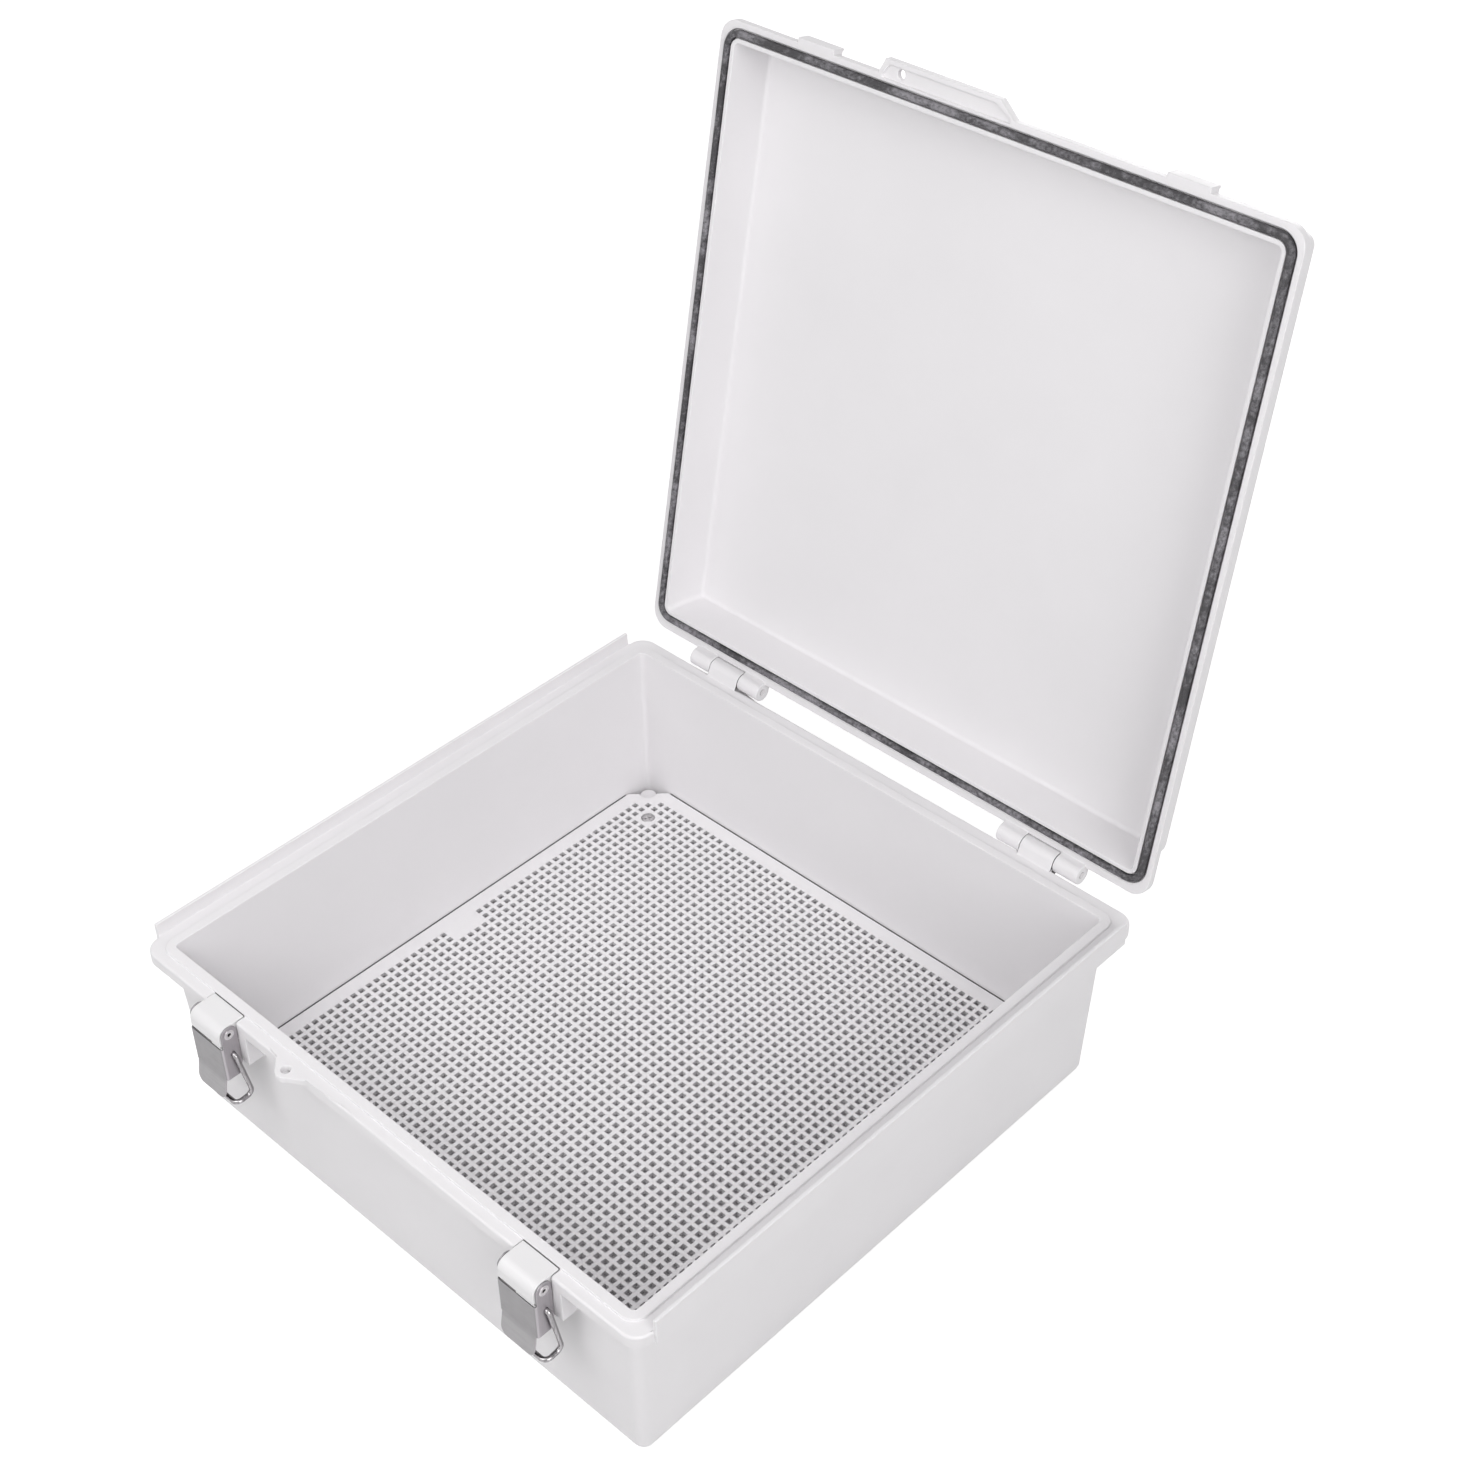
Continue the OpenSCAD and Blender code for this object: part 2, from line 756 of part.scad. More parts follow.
// Moulded block in the flange, on which the lever turns
module latch_block(side) {
  top = lever_down + block_over;
  nose = sheet_out - cheek_gap;
  color(abs_white)
    at_latch(side)
      difference() {
        union() {
          latch_profile(block_w) {
            polygon([
              [-block_back, top],
              [nose - block_front_r, top],
              [nose, top - block_front_r],
              [nose, -block_front_h],
              [-foot_front, -block_front_h - foot_t],
              [-foot_front, pad_z - lever_z],
              [-lever_out, pad_z - lever_z],
              [-lever_out, notch_z - lever_z],
              [-block_back, notch_z - lever_z]
            ]);
            intersection() {
              translate([nose - block_front_r, top - block_front_r])
                circle(block_front_r);
              translate([nose - block_front_r, top - block_front_r])
                square(block_front_r);
            }
          }
          translate([0, 0, rail_clear])
            dovetail(0, -flange_y - join / 4, notch_z + join / 4);
        }
        translate([0, lever_y, lever_z])
          x_cylinder(rivet_d + 2 * pin_clear, block_w + join);
      }
}

// Lever seen from the side: round top, cheeks with a sloped lower back corner
module lever_side() {
  circle(cheek_r);
  translate([-cheek_r, -sheet_top])
    square([2 * cheek_r, sheet_top]);
  polygon([
    [-cheek_r, -sheet_top],
    [sheet_out, -sheet_top],
    [sheet_out, -cheek_h],
    [-cheek_r / 2, -cheek_h],
    [-cheek_r, -cheek_h + cheek_r * 1.5]
  ]);
}

// Folded sheet seen from above: two cheeks and the front between them
module lever_plan() {
  difference() {
    lever_fold(cheek_out, sheet_out, bend_r);
    lever_fold(cheek_in, sheet_out - sheet_t, bend_r - sheet_t);
  }
}

// Filled fold with rounded front corners, open towards the back
module lever_fold(half, front, r) {
  translate([-half, -front + r])
    square([2 * half, front + lever_out]);
  translate([-half + r, -front])
    square([2 * (half - r), r + join]);
  for (sx = SIDES)
    translate([sx * (half - r), -front + r])
      circle(r);
}

// Flared lip under the front sheet, with round lower corners
module lever_lip() {
  inner = sheet_out - sheet_t;
  low = cheek_h + flare_len;
  intersection() {
    latch_profile(2 * (cheek_out - bend_r))
      polygon([
        [inner, -cheek_h + join],
        [sheet_out, -cheek_h + join],
        [sheet_out, -cheek_h],
        [sheet_out + flare_out, -low],
        [inner + flare_out, -low],
        [inner, -cheek_h]
      ]);
    translate([0, lever_y, lever_z - low])
      rotate([90, 0, 0])
        linear_extrude(4 * sheet_out)
          translate([0, low / 2])
            round_rect(2 * (cheek_out - bend_r), low, flare_r);
  }
}

module latch_lever(side) {
  color(steel_grey)
    at_latch(side)
      difference() {
        union() {
          intersection() {
            latch_profile(2 * cheek_out + join) lever_side();
            translate([0, lever_y, lever_z - cheek_h])
              linear_extrude(cheek_h + cheek_r + join)
                lever_plan();
          }
          lever_lip();
        }
        translate([0, lever_y, lever_z])
          x_cylinder(rivet_d + 2 * pin_clear, 2 * cheek_out + join);
        translate([0, bail_y, bail_z])
          x_cylinder(wire_d + 2 * pin_clear, 2 * cheek_out + join);
      }
}

// Hollow rivet through the cheeks and the block
module latch_rivet(side) {
  color(steel_grey)
    at_latch(side)
      translate([0, lever_y, lever_z])
        difference() {
          union() {
            x_cylinder(rivet_d, 2 * cheek_out);
            for (sx = SIDES)
              translate([sx * (cheek_out + rivet_head_t / 2), 0, 0])
                x_cylinder(rivet_head_d, rivet_head_t);
          }
          x_cylinder(rivet_hole_d, 2 * cheek_out + 2 * rivet_head_t + join);
        }
}

// Straight piece of wire between two points
module wire_run(a, b) {
  v = b - a;
  translate(a)
    rotate([0, acos(v[2] / norm(v)), atan2(v[1], v[0])])
      cylinder(d = wire_d, h = norm(v));
}

// Bend of the wire at a corner, between the directions in and out of it
module wire_bend(corner, dir_in, dir_out, r) {
  turn = acos(dir_in * dir_out);
  normal = cross(dir_in, dir_out) / norm(cross(dir_in, dir_out));
  start = corner - dir_in * r * tan(turn / 2);
  side = cross(normal, dir_in);
  centre = start + side * r;
  multmatrix([
    [-side[0], dir_in[0], normal[0], centre[0]],
    [-side[1], dir_in[1], normal[1], centre[1]],
    [-side[2], dir_in[2], normal[2], centre[2]],
    [0, 0, 0, 1]
  ])
    rotate_extrude(angle = turn)
      translate([r, 0])
        circle(d = wire_d + 2 * bend_swell);
}

function unit(v) = v / norm(v);

// Wire through a list of points, straight between bends of the listed radii
module wire(points, radii) {
  last = len(points) - 1;
  dirs = [for (i = [0 : last - 1]) unit(points[i + 1] - points[i])];
  cuts = [
    for (i = [0 : last])
      i == 0 || i == last ? 0 : radii[i] * tan(acos(dirs[i - 1] * dirs[i]) / 2) - bend_reach
  ];
  for (i = [0 : last - 1])
    wire_run(points[i] + dirs[i] * cuts[i], points[i + 1] - dirs[i] * cuts[i + 1]);
  for (i = [1 : last - 1])
    wire_bend(points[i], dirs[i - 1], dirs[i], radii[i]);
}

function reversed(list) = [for (i = [len(list) - 1 : -1 : 0]) list[i]];

// Points of half a bail from its end in the cheek to its crossbar
function bail_half(side) = [
  [side * (cheek_in - wire_end), 0, 0],
  [side * arm_x, 0, 0],
  [side * arm_x, elbow_back, -arm_h],
  [side * arm_x, -cross_out, -arm_h - cross_drop]
];

module latch_bail(side) {
  radii = [0, end_bend_r, wire_bend_r, wire_bend_r];
  color(wire_grey)
    at_latch(side)
      translate([0, bail_y, bail_z])
        wire(concat(bail_half(-1), reversed(bail_half(1))), concat(radii, reversed(radii)));
}

base_shell();
lid_shell();
lid_gasket();
hinge_pin(-1);  // hinge_pin_left
hinge_pin(1);  // hinge_pin_right
mounting_plate();
plate_screw(-1, -1);  // plate_screw_front_left
plate_screw(1, -1);  // plate_screw_front_right
plate_screw(-1, 1);  // plate_screw_back_left
plate_screw(1, 1);  // plate_screw_back_right
latch_block(-1);  // latch_block_left
latch_block(1);  // latch_block_right
latch_lever(-1);  // latch_lever_left
latch_lever(1);  // latch_lever_right
latch_rivet(-1);  // latch_rivet_left
latch_rivet(1);  // latch_rivet_right
latch_bail(-1);  // latch_bail_left
latch_bail(1);  // latch_bail_right
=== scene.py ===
"""Hinged waterproof junction box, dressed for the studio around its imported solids."""
import logging
import math
from collections.abc import Callable, Iterator
from contextlib import contextmanager
from dataclasses import dataclass
from enum import Enum

import bmesh
import bpy
from bpy.types import Material, Node, NodeSocket, NodeTree, Object
from mathutils import Matrix, Vector


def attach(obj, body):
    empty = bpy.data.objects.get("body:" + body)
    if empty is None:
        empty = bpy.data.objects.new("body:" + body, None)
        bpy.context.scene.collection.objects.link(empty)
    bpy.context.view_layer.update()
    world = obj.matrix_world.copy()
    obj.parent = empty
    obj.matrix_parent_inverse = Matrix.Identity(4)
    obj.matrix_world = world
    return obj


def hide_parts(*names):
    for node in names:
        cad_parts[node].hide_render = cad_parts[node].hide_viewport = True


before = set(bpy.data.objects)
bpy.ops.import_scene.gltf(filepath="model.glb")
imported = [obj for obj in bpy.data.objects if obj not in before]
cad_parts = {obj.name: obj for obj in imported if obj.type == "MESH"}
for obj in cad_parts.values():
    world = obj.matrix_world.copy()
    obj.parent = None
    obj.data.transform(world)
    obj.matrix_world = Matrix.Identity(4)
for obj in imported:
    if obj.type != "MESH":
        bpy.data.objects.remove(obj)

LOG = logging.getLogger("junction_box")
MM = 0.001
# Places closer than this are the same, in metres.
HAIR = 1e-6
# Corners of a CAD node's loose triangles that are this close are joined.
WELD = 0.002 * MM
# Faces narrower than this, left over by rounding, are closed up.
TINY = 0.01 * MM
# Edges sharper than this are rounded, and flatter ones are shaded smooth, in degrees.
EDGE_ANGLE = 40.0
# A wall's normal rises or falls by less than this.
WALL_LEAN = 0.5
# A face looks along an axis where its normal follows it by more than this.
FACING = 0.9
# A face looks upwards where its normal rises by at least this.
UPWARD = 0.3

Colour = tuple[float, float, float]
Point = tuple[float, float, float]
Pair = tuple[float, float]
VectorTest = Callable[[Vector, Vector], bool]


class Corner(Enum):
    """The four corners of the mounting plate, as signs of X and Y."""

    FRONT_LEFT = (-1, -1)
    FRONT_RIGHT = (1, -1)
    BACK_LEFT = (-1, 1)
    BACK_RIGHT = (1, 1)

    @property
    def label(self) -> str:
        """Lower-case name, as the screw nodes use it."""
        return self.name.lower()

    def at(self, away: float) -> Pair:
        """X and Y of the place that is this far from the middle along both axes."""
        return self.value[0] * away, self.value[1] * away


class Side(Enum):
    """Left and right latch or hinge, as the sign of X."""

    LEFT = -1
    RIGHT = 1

    @property
    def label(self) -> str:
        """Lower-case name, as the latch nodes use it."""
        return self.name.lower()


# Modelling helpers


def activate(obj: Object) -> None:
    """Makes one object the only selected and active one.

    Args:
        obj: The object to work on.
    """
    bpy.ops.object.select_all(action="DESELECT")
    bpy.context.view_layer.objects.active = obj
    obj.select_set(True)


@contextmanager
def editing(obj: Object) -> Iterator[None]:
    """Edit mode on one object, for the length of a with block.

    Args:
        obj: The mesh object to edit.
    """
    activate(obj)
    bpy.ops.object.mode_set(mode="EDIT")
    yield
    bpy.ops.object.mode_set(mode="OBJECT")


def pick_faces(obj: Object, test: VectorTest) -> None:
    """Selects faces in edit mode by their centre and normal.

    Args:
        obj: The mesh object in edit mode.
        test: Takes a face's centre and normal, and says whether it is wanted.
    """
    bpy.ops.mesh.select_mode(type="FACE")
    bpy.ops.mesh.select_all(action="DESELECT")
    bm = bmesh.from_edit_mesh(obj.data)
    for face in bm.faces:
        if test(face.calc_center_median(), face.normal):
            face.select_set(True)
    bmesh.update_edit_mesh(obj.data)


def pick_edges(obj: Object, test: VectorTest, sharp: float = 0.0) -> None:
    """Selects edges in edit mode by their two ends.

    Args:
        obj: The mesh object in edit mode.
        test: Takes the places of an edge's ends, and says whether it is wanted.
        sharp: Least angle between the edge's two faces, in degrees.
    """
    bpy.ops.mesh.select_mode(type="EDGE")
    bpy.ops.mesh.select_all(action="DESELECT")
    bm = bmesh.from_edit_mesh(obj.data)
    least = math.radians(sharp)
    for edge in bm.edges:
        if edge.calc_face_angle(0.0) >= least and test(edge.verts[0].co, edge.verts[1].co):
            edge.select_set(True)
    bmesh.update_edit_mesh(obj.data)


def apply_modifier(obj: Object, kind: str, **settings: object) -> None:
    """Adds a modifier to an object and applies it at once.

    Args:
        obj: The mesh object.
        kind: Blender's name of the modifier's type.
        **settings: Values of the modifier's own properties.
    """
    activate(obj)
    modifier = obj.modifiers.new(kind.lower(), kind)
    for name, value in settings.items():
        setattr(modifier, name, value)
    bpy.ops.object.modifier_apply(modifier=modifier.name)


def settle(obj: Object, name: str, smooth_angle: float = 30.0) -> None:
    """Moves an object's place into its mesh, names it and smooths its shallow edges.

    Args:
        obj: The finished mesh object.
        name: Its name as a piece.
        smooth_angle: Edges flatter than this are shaded smooth, in degrees.
    """
    activate(obj)
    bpy.ops.object.transform_apply(location=True, rotation=True, scale=True)
    bpy.ops.object.shade_smooth_by_angle(angle=math.radians(smooth_angle))
    obj.name = name
    obj.data.name = name


def add_cylinder(radius: float, low: float, high: float, at: Pair, sides: int = 48) -> Object:
    """Adds an upright cylinder between two heights, with its place in its mesh.

    Args:
        radius: Its radius, in metres.
        low: Height of its lower end.
        high: Height of its upper end.
        at: X and Y of its axis.
        sides: Number of its sides.

    Returns:
        The new object.
    """
    bpy.ops.object.select_all(action="DESELECT")
    bpy.ops.mesh.primitive_cylinder_add(
        vertices=sides, radius=radius, depth=high - low, location=(*at, (low + high) / 2)
    )
    bpy.ops.object.transform_apply(location=True, rotation=True, scale=True)
    return bpy.context.active_object


def join(objects: list[Object]) -> Object:
    """Joins several mesh objects into the first one.

    Args:
        objects: The objects to join.

    Returns:
        The first object, which then holds all the meshes.
    """
    activate(objects[0])
    for obj in objects:
        obj.select_set(True)
    bpy.ops.object.join()
    return objects[0]


def discard(obj: Object) -> None:
    """Deletes a helper object."""
    bpy.data.objects.remove(obj, do_unlink=True)


# Shader helpers


class Tree:
    """Short calls for building a node tree."""

    def __init__(self, tree: NodeTree) -> None:
        """Wraps the tree of a material, a world or a group."""
        self.tree = tree

    def link(self, source: NodeSocket, target: NodeSocket) -> None:
        """Links an output to an input."""
        self.tree.links.new(source, target)

    def feed(self, target: NodeSocket, value: object) -> None:
        """Links an input to a node's output, or sets it to a plain value.

        Args:
            target: The input.
            value: The output to link, or the value to set.
        """
        if isinstance(value, NodeSocket):
            self.link(value, target)
        else:
            target.default_value = value

    def add(self, kind: str, **settings: object) -> Node:
        """Adds a node, and sets its properties and feeds its inputs.

        Args:
            kind: The node's type name, without its ShaderNode prefix.
            **settings: Properties by name, or inputs by name with spaces as underscores.

        Returns:
            The new node.
        """
        node = self.tree.nodes.new("ShaderNode" + kind)
        for name, value in settings.items():
            if hasattr(node, name):
                setattr(node, name, value)
            else:
                self.feed(node.inputs[name.replace("_", " ")], value)
        return node

    def math(self, operation: str, *values: object) -> NodeSocket:
        """Adds a Math node.

        Args:
            operation: The node's operation.
            *values: Its inputs in order, each a socket or a plain value.

        Returns:
            Its result.
        """
        node = self.add("Math", operation=operation)
        for target, value in zip(node.inputs, values):
            self.feed(target, value)
        return node.outputs[0]

    def tint(self, colour: NodeSocket, amount: NodeSocket) -> NodeSocket:
        """Multiplies a colour by an amount, and gives the new colour."""
        node = self.add("VectorMath", operation="SCALE", Vector=colour, Scale=amount)
        return node.outputs[0]

    def noise(self, at: NodeSocket, scale: object, detail: float, roughness: float) -> NodeSocket:
        """Adds a noise texture that reads a place, and gives its value."""
        node = self.add("TexNoise", Vector=at, Scale=scale, Detail=detail, Roughness=roughness)
        return node.outputs["Fac"]

    def ramp(self, value: NodeSocket, start: Pair, end: Pair) -> NodeSocket:
        """Maps a value from one range to another, and holds it at the ends."""
        node = self.add(
            "MapRange", Value=value, From_Min=start[0], From_Max=start[1], To_Min=end[0], To_Max=end[1]
        )
        return node.outputs["Result"]


def new_group(name: str, inputs: dict[str, tuple[str, object]]) -> tuple[Tree, Node, Node]:
    """Starts a shader node group with named inputs and Colour, Roughness and Height outputs.

    Args:
        name: The group's name.
        inputs: Socket name to its type and its default value.

    Returns:
        The group's tree, its input node and its output node.
    """
    group = bpy.data.node_groups.new(name, "ShaderNodeTree")
    for socket, (kind, value) in inputs.items():
        made = group.interface.new_socket(socket, in_out="INPUT", socket_type="NodeSocket" + kind)
        made.default_value = value
    for socket, kind in (("Colour", "Color"), ("Roughness", "Float"), ("Height", "Float")):
        group.interface.new_socket(socket, in_out="OUTPUT", socket_type="NodeSocket" + kind)
    return Tree(group), group.nodes.new("NodeGroupInput"), group.nodes.new("NodeGroupOutput")


def moulded_group() -> NodeTree:
    """Builds the look of moulded plastic: cloudy flow marks, fine grain and a few rubbed spots.

    Returns:
        The group, with Colour, Roughness and Height outputs.
    """
    tree, start, end = new_group(
        "moulded_surface",
        {
            "Colour": ("Color", (0.8, 0.8, 0.8, 1)),
            "Flow": ("Float", 0.04),
            "Roughness": ("Float", 0.45),
            "Grain Scale": ("Float", 900.0),
        },
    )
    place = tree.add("TexCoord").outputs["Object"]
    cloud = tree.ramp(tree.noise(place, scale=9.0, detail=4.0, roughness=0.55), (0.3, 0.7), (-1.0, 1.0))
    amount = tree.math("MULTIPLY_ADD", cloud, start.outputs["Flow"], 1.0)
    tree.link(tree.tint(start.outputs["Colour"], amount), end.inputs["Colour"])
    rubbed = tree.ramp(tree.noise(place, scale=38.0, detail=5.0, roughness=0.65), (0.35, 0.75), (-0.06, 0.08))
    tree.link(tree.math("ADD", start.outputs["Roughness"], rubbed), end.inputs["Roughness"])
    grain = tree.noise(place, scale=start.outputs["Grain Scale"], detail=2.0, roughness=0.6)
    tree.link(grain, end.inputs["Height"])
    return tree.tree


def brushed_group() -> NodeTree:
    """Builds the look of worked steel: fine streaks along one axis, faint handling marks and a painted sheen
    below a given height.

    Returns:
        The group, with Colour, Roughness and Height outputs.
    """
    tree, start, end = new_group(
        "brushed_surface",
        {
            "Colour": ("Color", (0.5, 0.5, 0.5, 1)),
            "Streaks": ("Float", 0.12),
            "Roughness": ("Float", 0.35),
            "Stretch": ("Vector", (40.0, 2600.0, 2600.0)),
            "Polish": ("Float", 0.0),
            "Lip Sheen Below": ("Float", 0.0),
        },
    )
    place = tree.add("TexCoord").outputs["Object"]
    stretched = tree.add("VectorMath", operation="MULTIPLY", Vector=place)
    tree.link(start.outputs["Stretch"], stretched.inputs[1])
    streak = tree.noise(stretched.outputs[0], scale=1.0, detail=3.0, roughness=0.6)
    spread = tree.ramp(streak, (0.25, 0.75), (-1.0, 1.0))
    # Painted sheen: the steel is painted lighter below a given height, where the lever's flared lip is.
    height = tree.add("SeparateXYZ", Vector=place).outputs["Z"]
    below = tree.math("SUBTRACT", start.outputs["Lip Sheen Below"], height)
    on_lip = tree.ramp(below, (0.0, 0.005), (0.0, 1.0))
    gain = tree.math("MULTIPLY_ADD", on_lip, start.outputs["Polish"], 1.0)
    amount = tree.math("MULTIPLY_ADD", spread, start.outputs["Streaks"], gain)
    tree.link(tree.tint(start.outputs["Colour"], amount), end.inputs["Colour"])
    smear = tree.ramp(tree.noise(place, scale=180.0, detail=4.0, roughness=0.6), (0.4, 0.8), (0.0, 0.1))
    tree.link(tree.math("ADD", start.outputs["Roughness"], smear), end.inputs["Roughness"])
    tree.link(streak, end.inputs["Height"])
    return tree.tree


def foam_group() -> NodeTree:
    """Builds the look of skinned foam: open pores with lighter cell walls, and pale patches that are partly
    dust and partly painted glints.

    Returns:
        The group, with Colour, Roughness and Height outputs.
    """
    tree, start, end = new_group(
        "foam_surface",
        {
            "Colour": ("Color", (0.08, 0.08, 0.08, 1)),
            "Dust": ("Float", 0.5),
            "Pore Scale": ("Float", 1400.0),
        },
    )
    place = tree.add("TexCoord").outputs["Object"]
    cells = tree.add(
        "TexVoronoi", feature="F1", Vector=place, Scale=start.outputs["Pore Scale"], Randomness=1.0
    )
    pores = cells.outputs["Distance"]
    dust = tree.noise(place, scale=420.0, detail=5.0, roughness=0.7)
    patch = tree.noise(place, scale=34.0, detail=3.0, roughness=0.6)
    # Pale patches, partly dust and partly painted glints, where both noises are high.
    level = tree.ramp(tree.math("MULTIPLY", dust, patch), (0.2, 0.36), (0.0, 1.0))
    share = tree.math("MULTIPLY", level, start.outputs["Dust"])
    lift = tree.math("MULTIPLY_ADD", pores, 0.12, share)
    gain = tree.ramp(lift, (0.0, 1.0), (0.7, 5.0))
    tree.link(tree.tint(start.outputs["Colour"], gain), end.inputs["Colour"])
    tree.link(tree.ramp(level, (0.0, 1.0), (0.78, 0.95)), end.inputs["Roughness"])
    tree.link(pores, end.inputs["Height"])
    return tree.tree


def cached_group(name: str, maker: Callable[[], NodeTree]) -> NodeTree:
    """Gives a node group by name, and makes it the first time."""
    return bpy.data.node_groups.get(name) or maker()


# Finishes


@dataclass(frozen=True)
class Finish:
    """What every finish has: its name, colour and bump.

    Attributes:
        name: Name of the material.
        colour: Base colour, linear.
        bump: Depth of its texture, in metres.
    """

    name: str
    colour: Colour
    bump: float = 0.02 * MM

    def group(self) -> NodeTree:
        """The node group that textures this finish."""
        raise NotImplementedError

    def group_values(self) -> dict[str, object]:
        """Values for the group's inputs."""
        raise NotImplementedError

    def shader_values(self) -> dict[str, object]:
        """Values that are the same all over, for the shader's own sockets."""
        return {}

    def build(self) -> Material:
        """Makes the material once, and gives the same one after that.

        Returns:
            The material.
        """
        found = bpy.data.materials.get(self.name)
        if found:
            return found
        material = bpy.data.materials.new(self.name)
        material.use_nodes = True
        material.node_tree.nodes.clear()
        tree = Tree(material.node_tree)
        output = tree.add("OutputMaterial")
        shader = tree.add("BsdfPrincipled")
        for socket, value in self.shader_values().items():
            shader.inputs[socket].default_value = value
        texture = tree.add("Group", node_tree=self.group())
        texture.inputs["Colour"].default_value = (*self.colour, 1)
        for socket, value in self.group_values().items():
            texture.inputs[socket].default_value = value
        tree.link(texture.outputs["Colour"], shader.inputs["Base Color"])
        tree.link(texture.outputs["Roughness"], shader.inputs["Roughness"])
        bump = tree.add("Bump", Strength=1.0, Distance=self.bump, Height=texture.outputs["Height"])
        tree.link(bump.outputs["Normal"], shader.inputs["Normal"])
        tree.link(shader.outputs[0], output.inputs["Surface"])
        return material

    def dress(self, obj: Object) -> None:
        """Gives a new piece or a CAD node this finish as its only material."""
        obj.data.materials.clear()
        obj.data.materials.append(self.build())

    def dress_faces(self, obj: Object, test: VectorTest) -> None:
        """Gives some faces of a new piece this finish as its second material.

        Args:
            obj: The piece, which has its first material.
            test: Takes a face's centre and normal, and says whether it gets this finish.
        """
        obj.data.materials.append(self.build())
        with editing(obj):
            pick_faces(obj, test)
            obj.active_material_index = 1
            bpy.ops.object.material_slot_assign()


@dataclass(frozen=True)
class MouldedPlastic(Finish):
    """Moulded thermoplastic with a fine satin grain.

    Attributes:
        flow: Strength of the cloudy flow marks.
        roughness: Mean roughness.
        grain: Scale of the grain, in cycles per metre.
        ior: Index of refraction.
        gloss: Specular level.
    """

    flow: float = 0.02
    roughness: float = 0.45
    grain: float = 900.0
    ior: float = 1.5
    gloss: float = 0.4

    def group(self) -> NodeTree:
        """The moulded surface."""
        return cached_group("moulded_surface", moulded_group)

    def group_values(self) -> dict[str, object]:
        """Flow marks, roughness and grain of this plastic."""
        return {"Flow": self.flow, "Roughness": self.roughness, "Grain Scale": self.grain}

    def shader_values(self) -> dict[str, object]:
        """How strongly this plastic reflects."""
        return {"IOR": self.ior, "Specular IOR Level": self.gloss}


@dataclass(frozen=True)
class WorkedSteel(Finish):
    """Stainless steel, brushed or drawn along one axis.

    Attributes:
        streaks: Strength of the streaks in the colour.
        roughness: Mean roughness.
        stretch: Cycles per metre of the streaks along each axis.
        polish: How much lighter its painted sheen makes it.
        lip_sheen_below: Height under which the sheen is painted, in metres.
    """

    streaks: float = 0.1
    roughness: float = 0.35
    stretch: Point = (40.0, 2600.0, 2600.0)
    polish: float = 0.0
    lip_sheen_below: float = 0.0

    def group(self) -> NodeTree:
        """The brushed surface."""
        return cached_group("brushed_surface", brushed_group)

    def group_values(self) -> dict[str, object]:
        """Streaks, roughness and handling of this steel."""
        return {
            "Streaks": self.streaks,
            "Roughness": self.roughness,
            "Stretch": self.stretch,
            "Polish": self.polish,
            "Lip Sheen Below": self.lip_sheen_below,
        }

    def shader_values(self) -> dict[str, object]:
        """Bare metal."""
        return {"Metallic": 1.0}


@dataclass(frozen=True)
class SealFoam(Finish):
    """Closed-cell foam with a dusty skin and painted glints.

    Attributes:
        dust: Strength of the pale patches, partly dust and partly painted glints.
        pores: Scale of the pores, in cycles per metre.
    """

    dust: float = 0.5
    pores: float = 1400.0

    def group(self) -> NodeTree:
        """The foam surface."""
        return cached_group("foam_surface", foam_group)

    def group_values(self) -> dict[str, object]:
        """Dust and pores of this foam."""
        return {"Dust": self.dust, "Pore Scale": self.pores}


SHELL = MouldedPlastic("shell_plastic", (0.78, 0.766, 0.78), flow=0.015, roughness=0.42, grain=1100.0)
PLATE = MouldedPlastic("plate_plastic", (0.84, 0.827, 0.84), flow=0.012, roughness=0.5, grain=1300.0)
# Painted shade: a darker copy of the plate's plastic, laid on the walls of its holes and sinks.
HOLE_SHADE = MouldedPlastic("painted_hole_shade", (0.6, 0.59, 0.6), flow=0.05, roughness=0.6, grain=1300.0)
# Painted shade: a dark copy of the shell's plastic, laid on faces deep in the tub's narrow joints.
JOINT_SHADE = MouldedPlastic("painted_joint_shade", (0.16, 0.156, 0.16), flow=0.2, roughness=0.8, grain=1500.0)
BLOCK = MouldedPlastic(
    "latch_block_plastic", (0.775, 0.766, 0.775), bump=0.012 * MM, flow=0.01, roughness=0.34, grain=1500.0
)
# The foam's pale patches are partly dust and partly painted glints.
FOAM = SealFoam("skinned_foam", (0.056, 0.054, 0.058), bump=0.15 * MM, dust=0.9, pores=1500.0)
# The lever's flared lip, below 81.3 mm, is painted lighter as a sheen.
LEVER = WorkedSteel(
    "brushed_lever", (0.272, 0.266, 0.272), bump=0.006 * MM, streaks=0.09, roughness=0.4,
    stretch=(30.0, 2400.0, 2400.0), polish=0.22, lip_sheen_below=81.3 * MM,
)
# A paler copy of the lever's steel for its cheeks: painted light on the sides of one folded sheet.
LIT_CHEEK = WorkedSteel(
    "lit_cheek_steel", (0.42, 0.397, 0.418), bump=0.004 * MM, streaks=0.07, roughness=0.34,
    stretch=(2400.0, 2400.0, 60.0),
)
WIRE = WorkedSteel(
    "drawn_wire", (0.34, 0.328, 0.337), bump=0.003 * MM, streaks=0.4, roughness=0.14,
    stretch=(900.0, 900.0, 40.0),
)
SCREW = WorkedSteel(
    "plated_screw", (0.6, 0.587, 0.596), bump=0.006 * MM, streaks=0.1, roughness=0.4,
    stretch=(700.0, 700.0, 700.0),
)
RIVET = WorkedSteel(
    "rolled_eyelet", (0.72, 0.7, 0.715), bump=0.003 * MM, streaks=0.05, roughness=0.2,
    stretch=(60.0, 2400.0, 2400.0),
)
PIN = WorkedSteel(
    "turned_pin", (0.55, 0.535, 0.545), bump=0.004 * MM, streaks=0.07, roughness=0.25,
    stretch=(60.0, 2400.0, 2400.0),
)


# Sub-assemblies


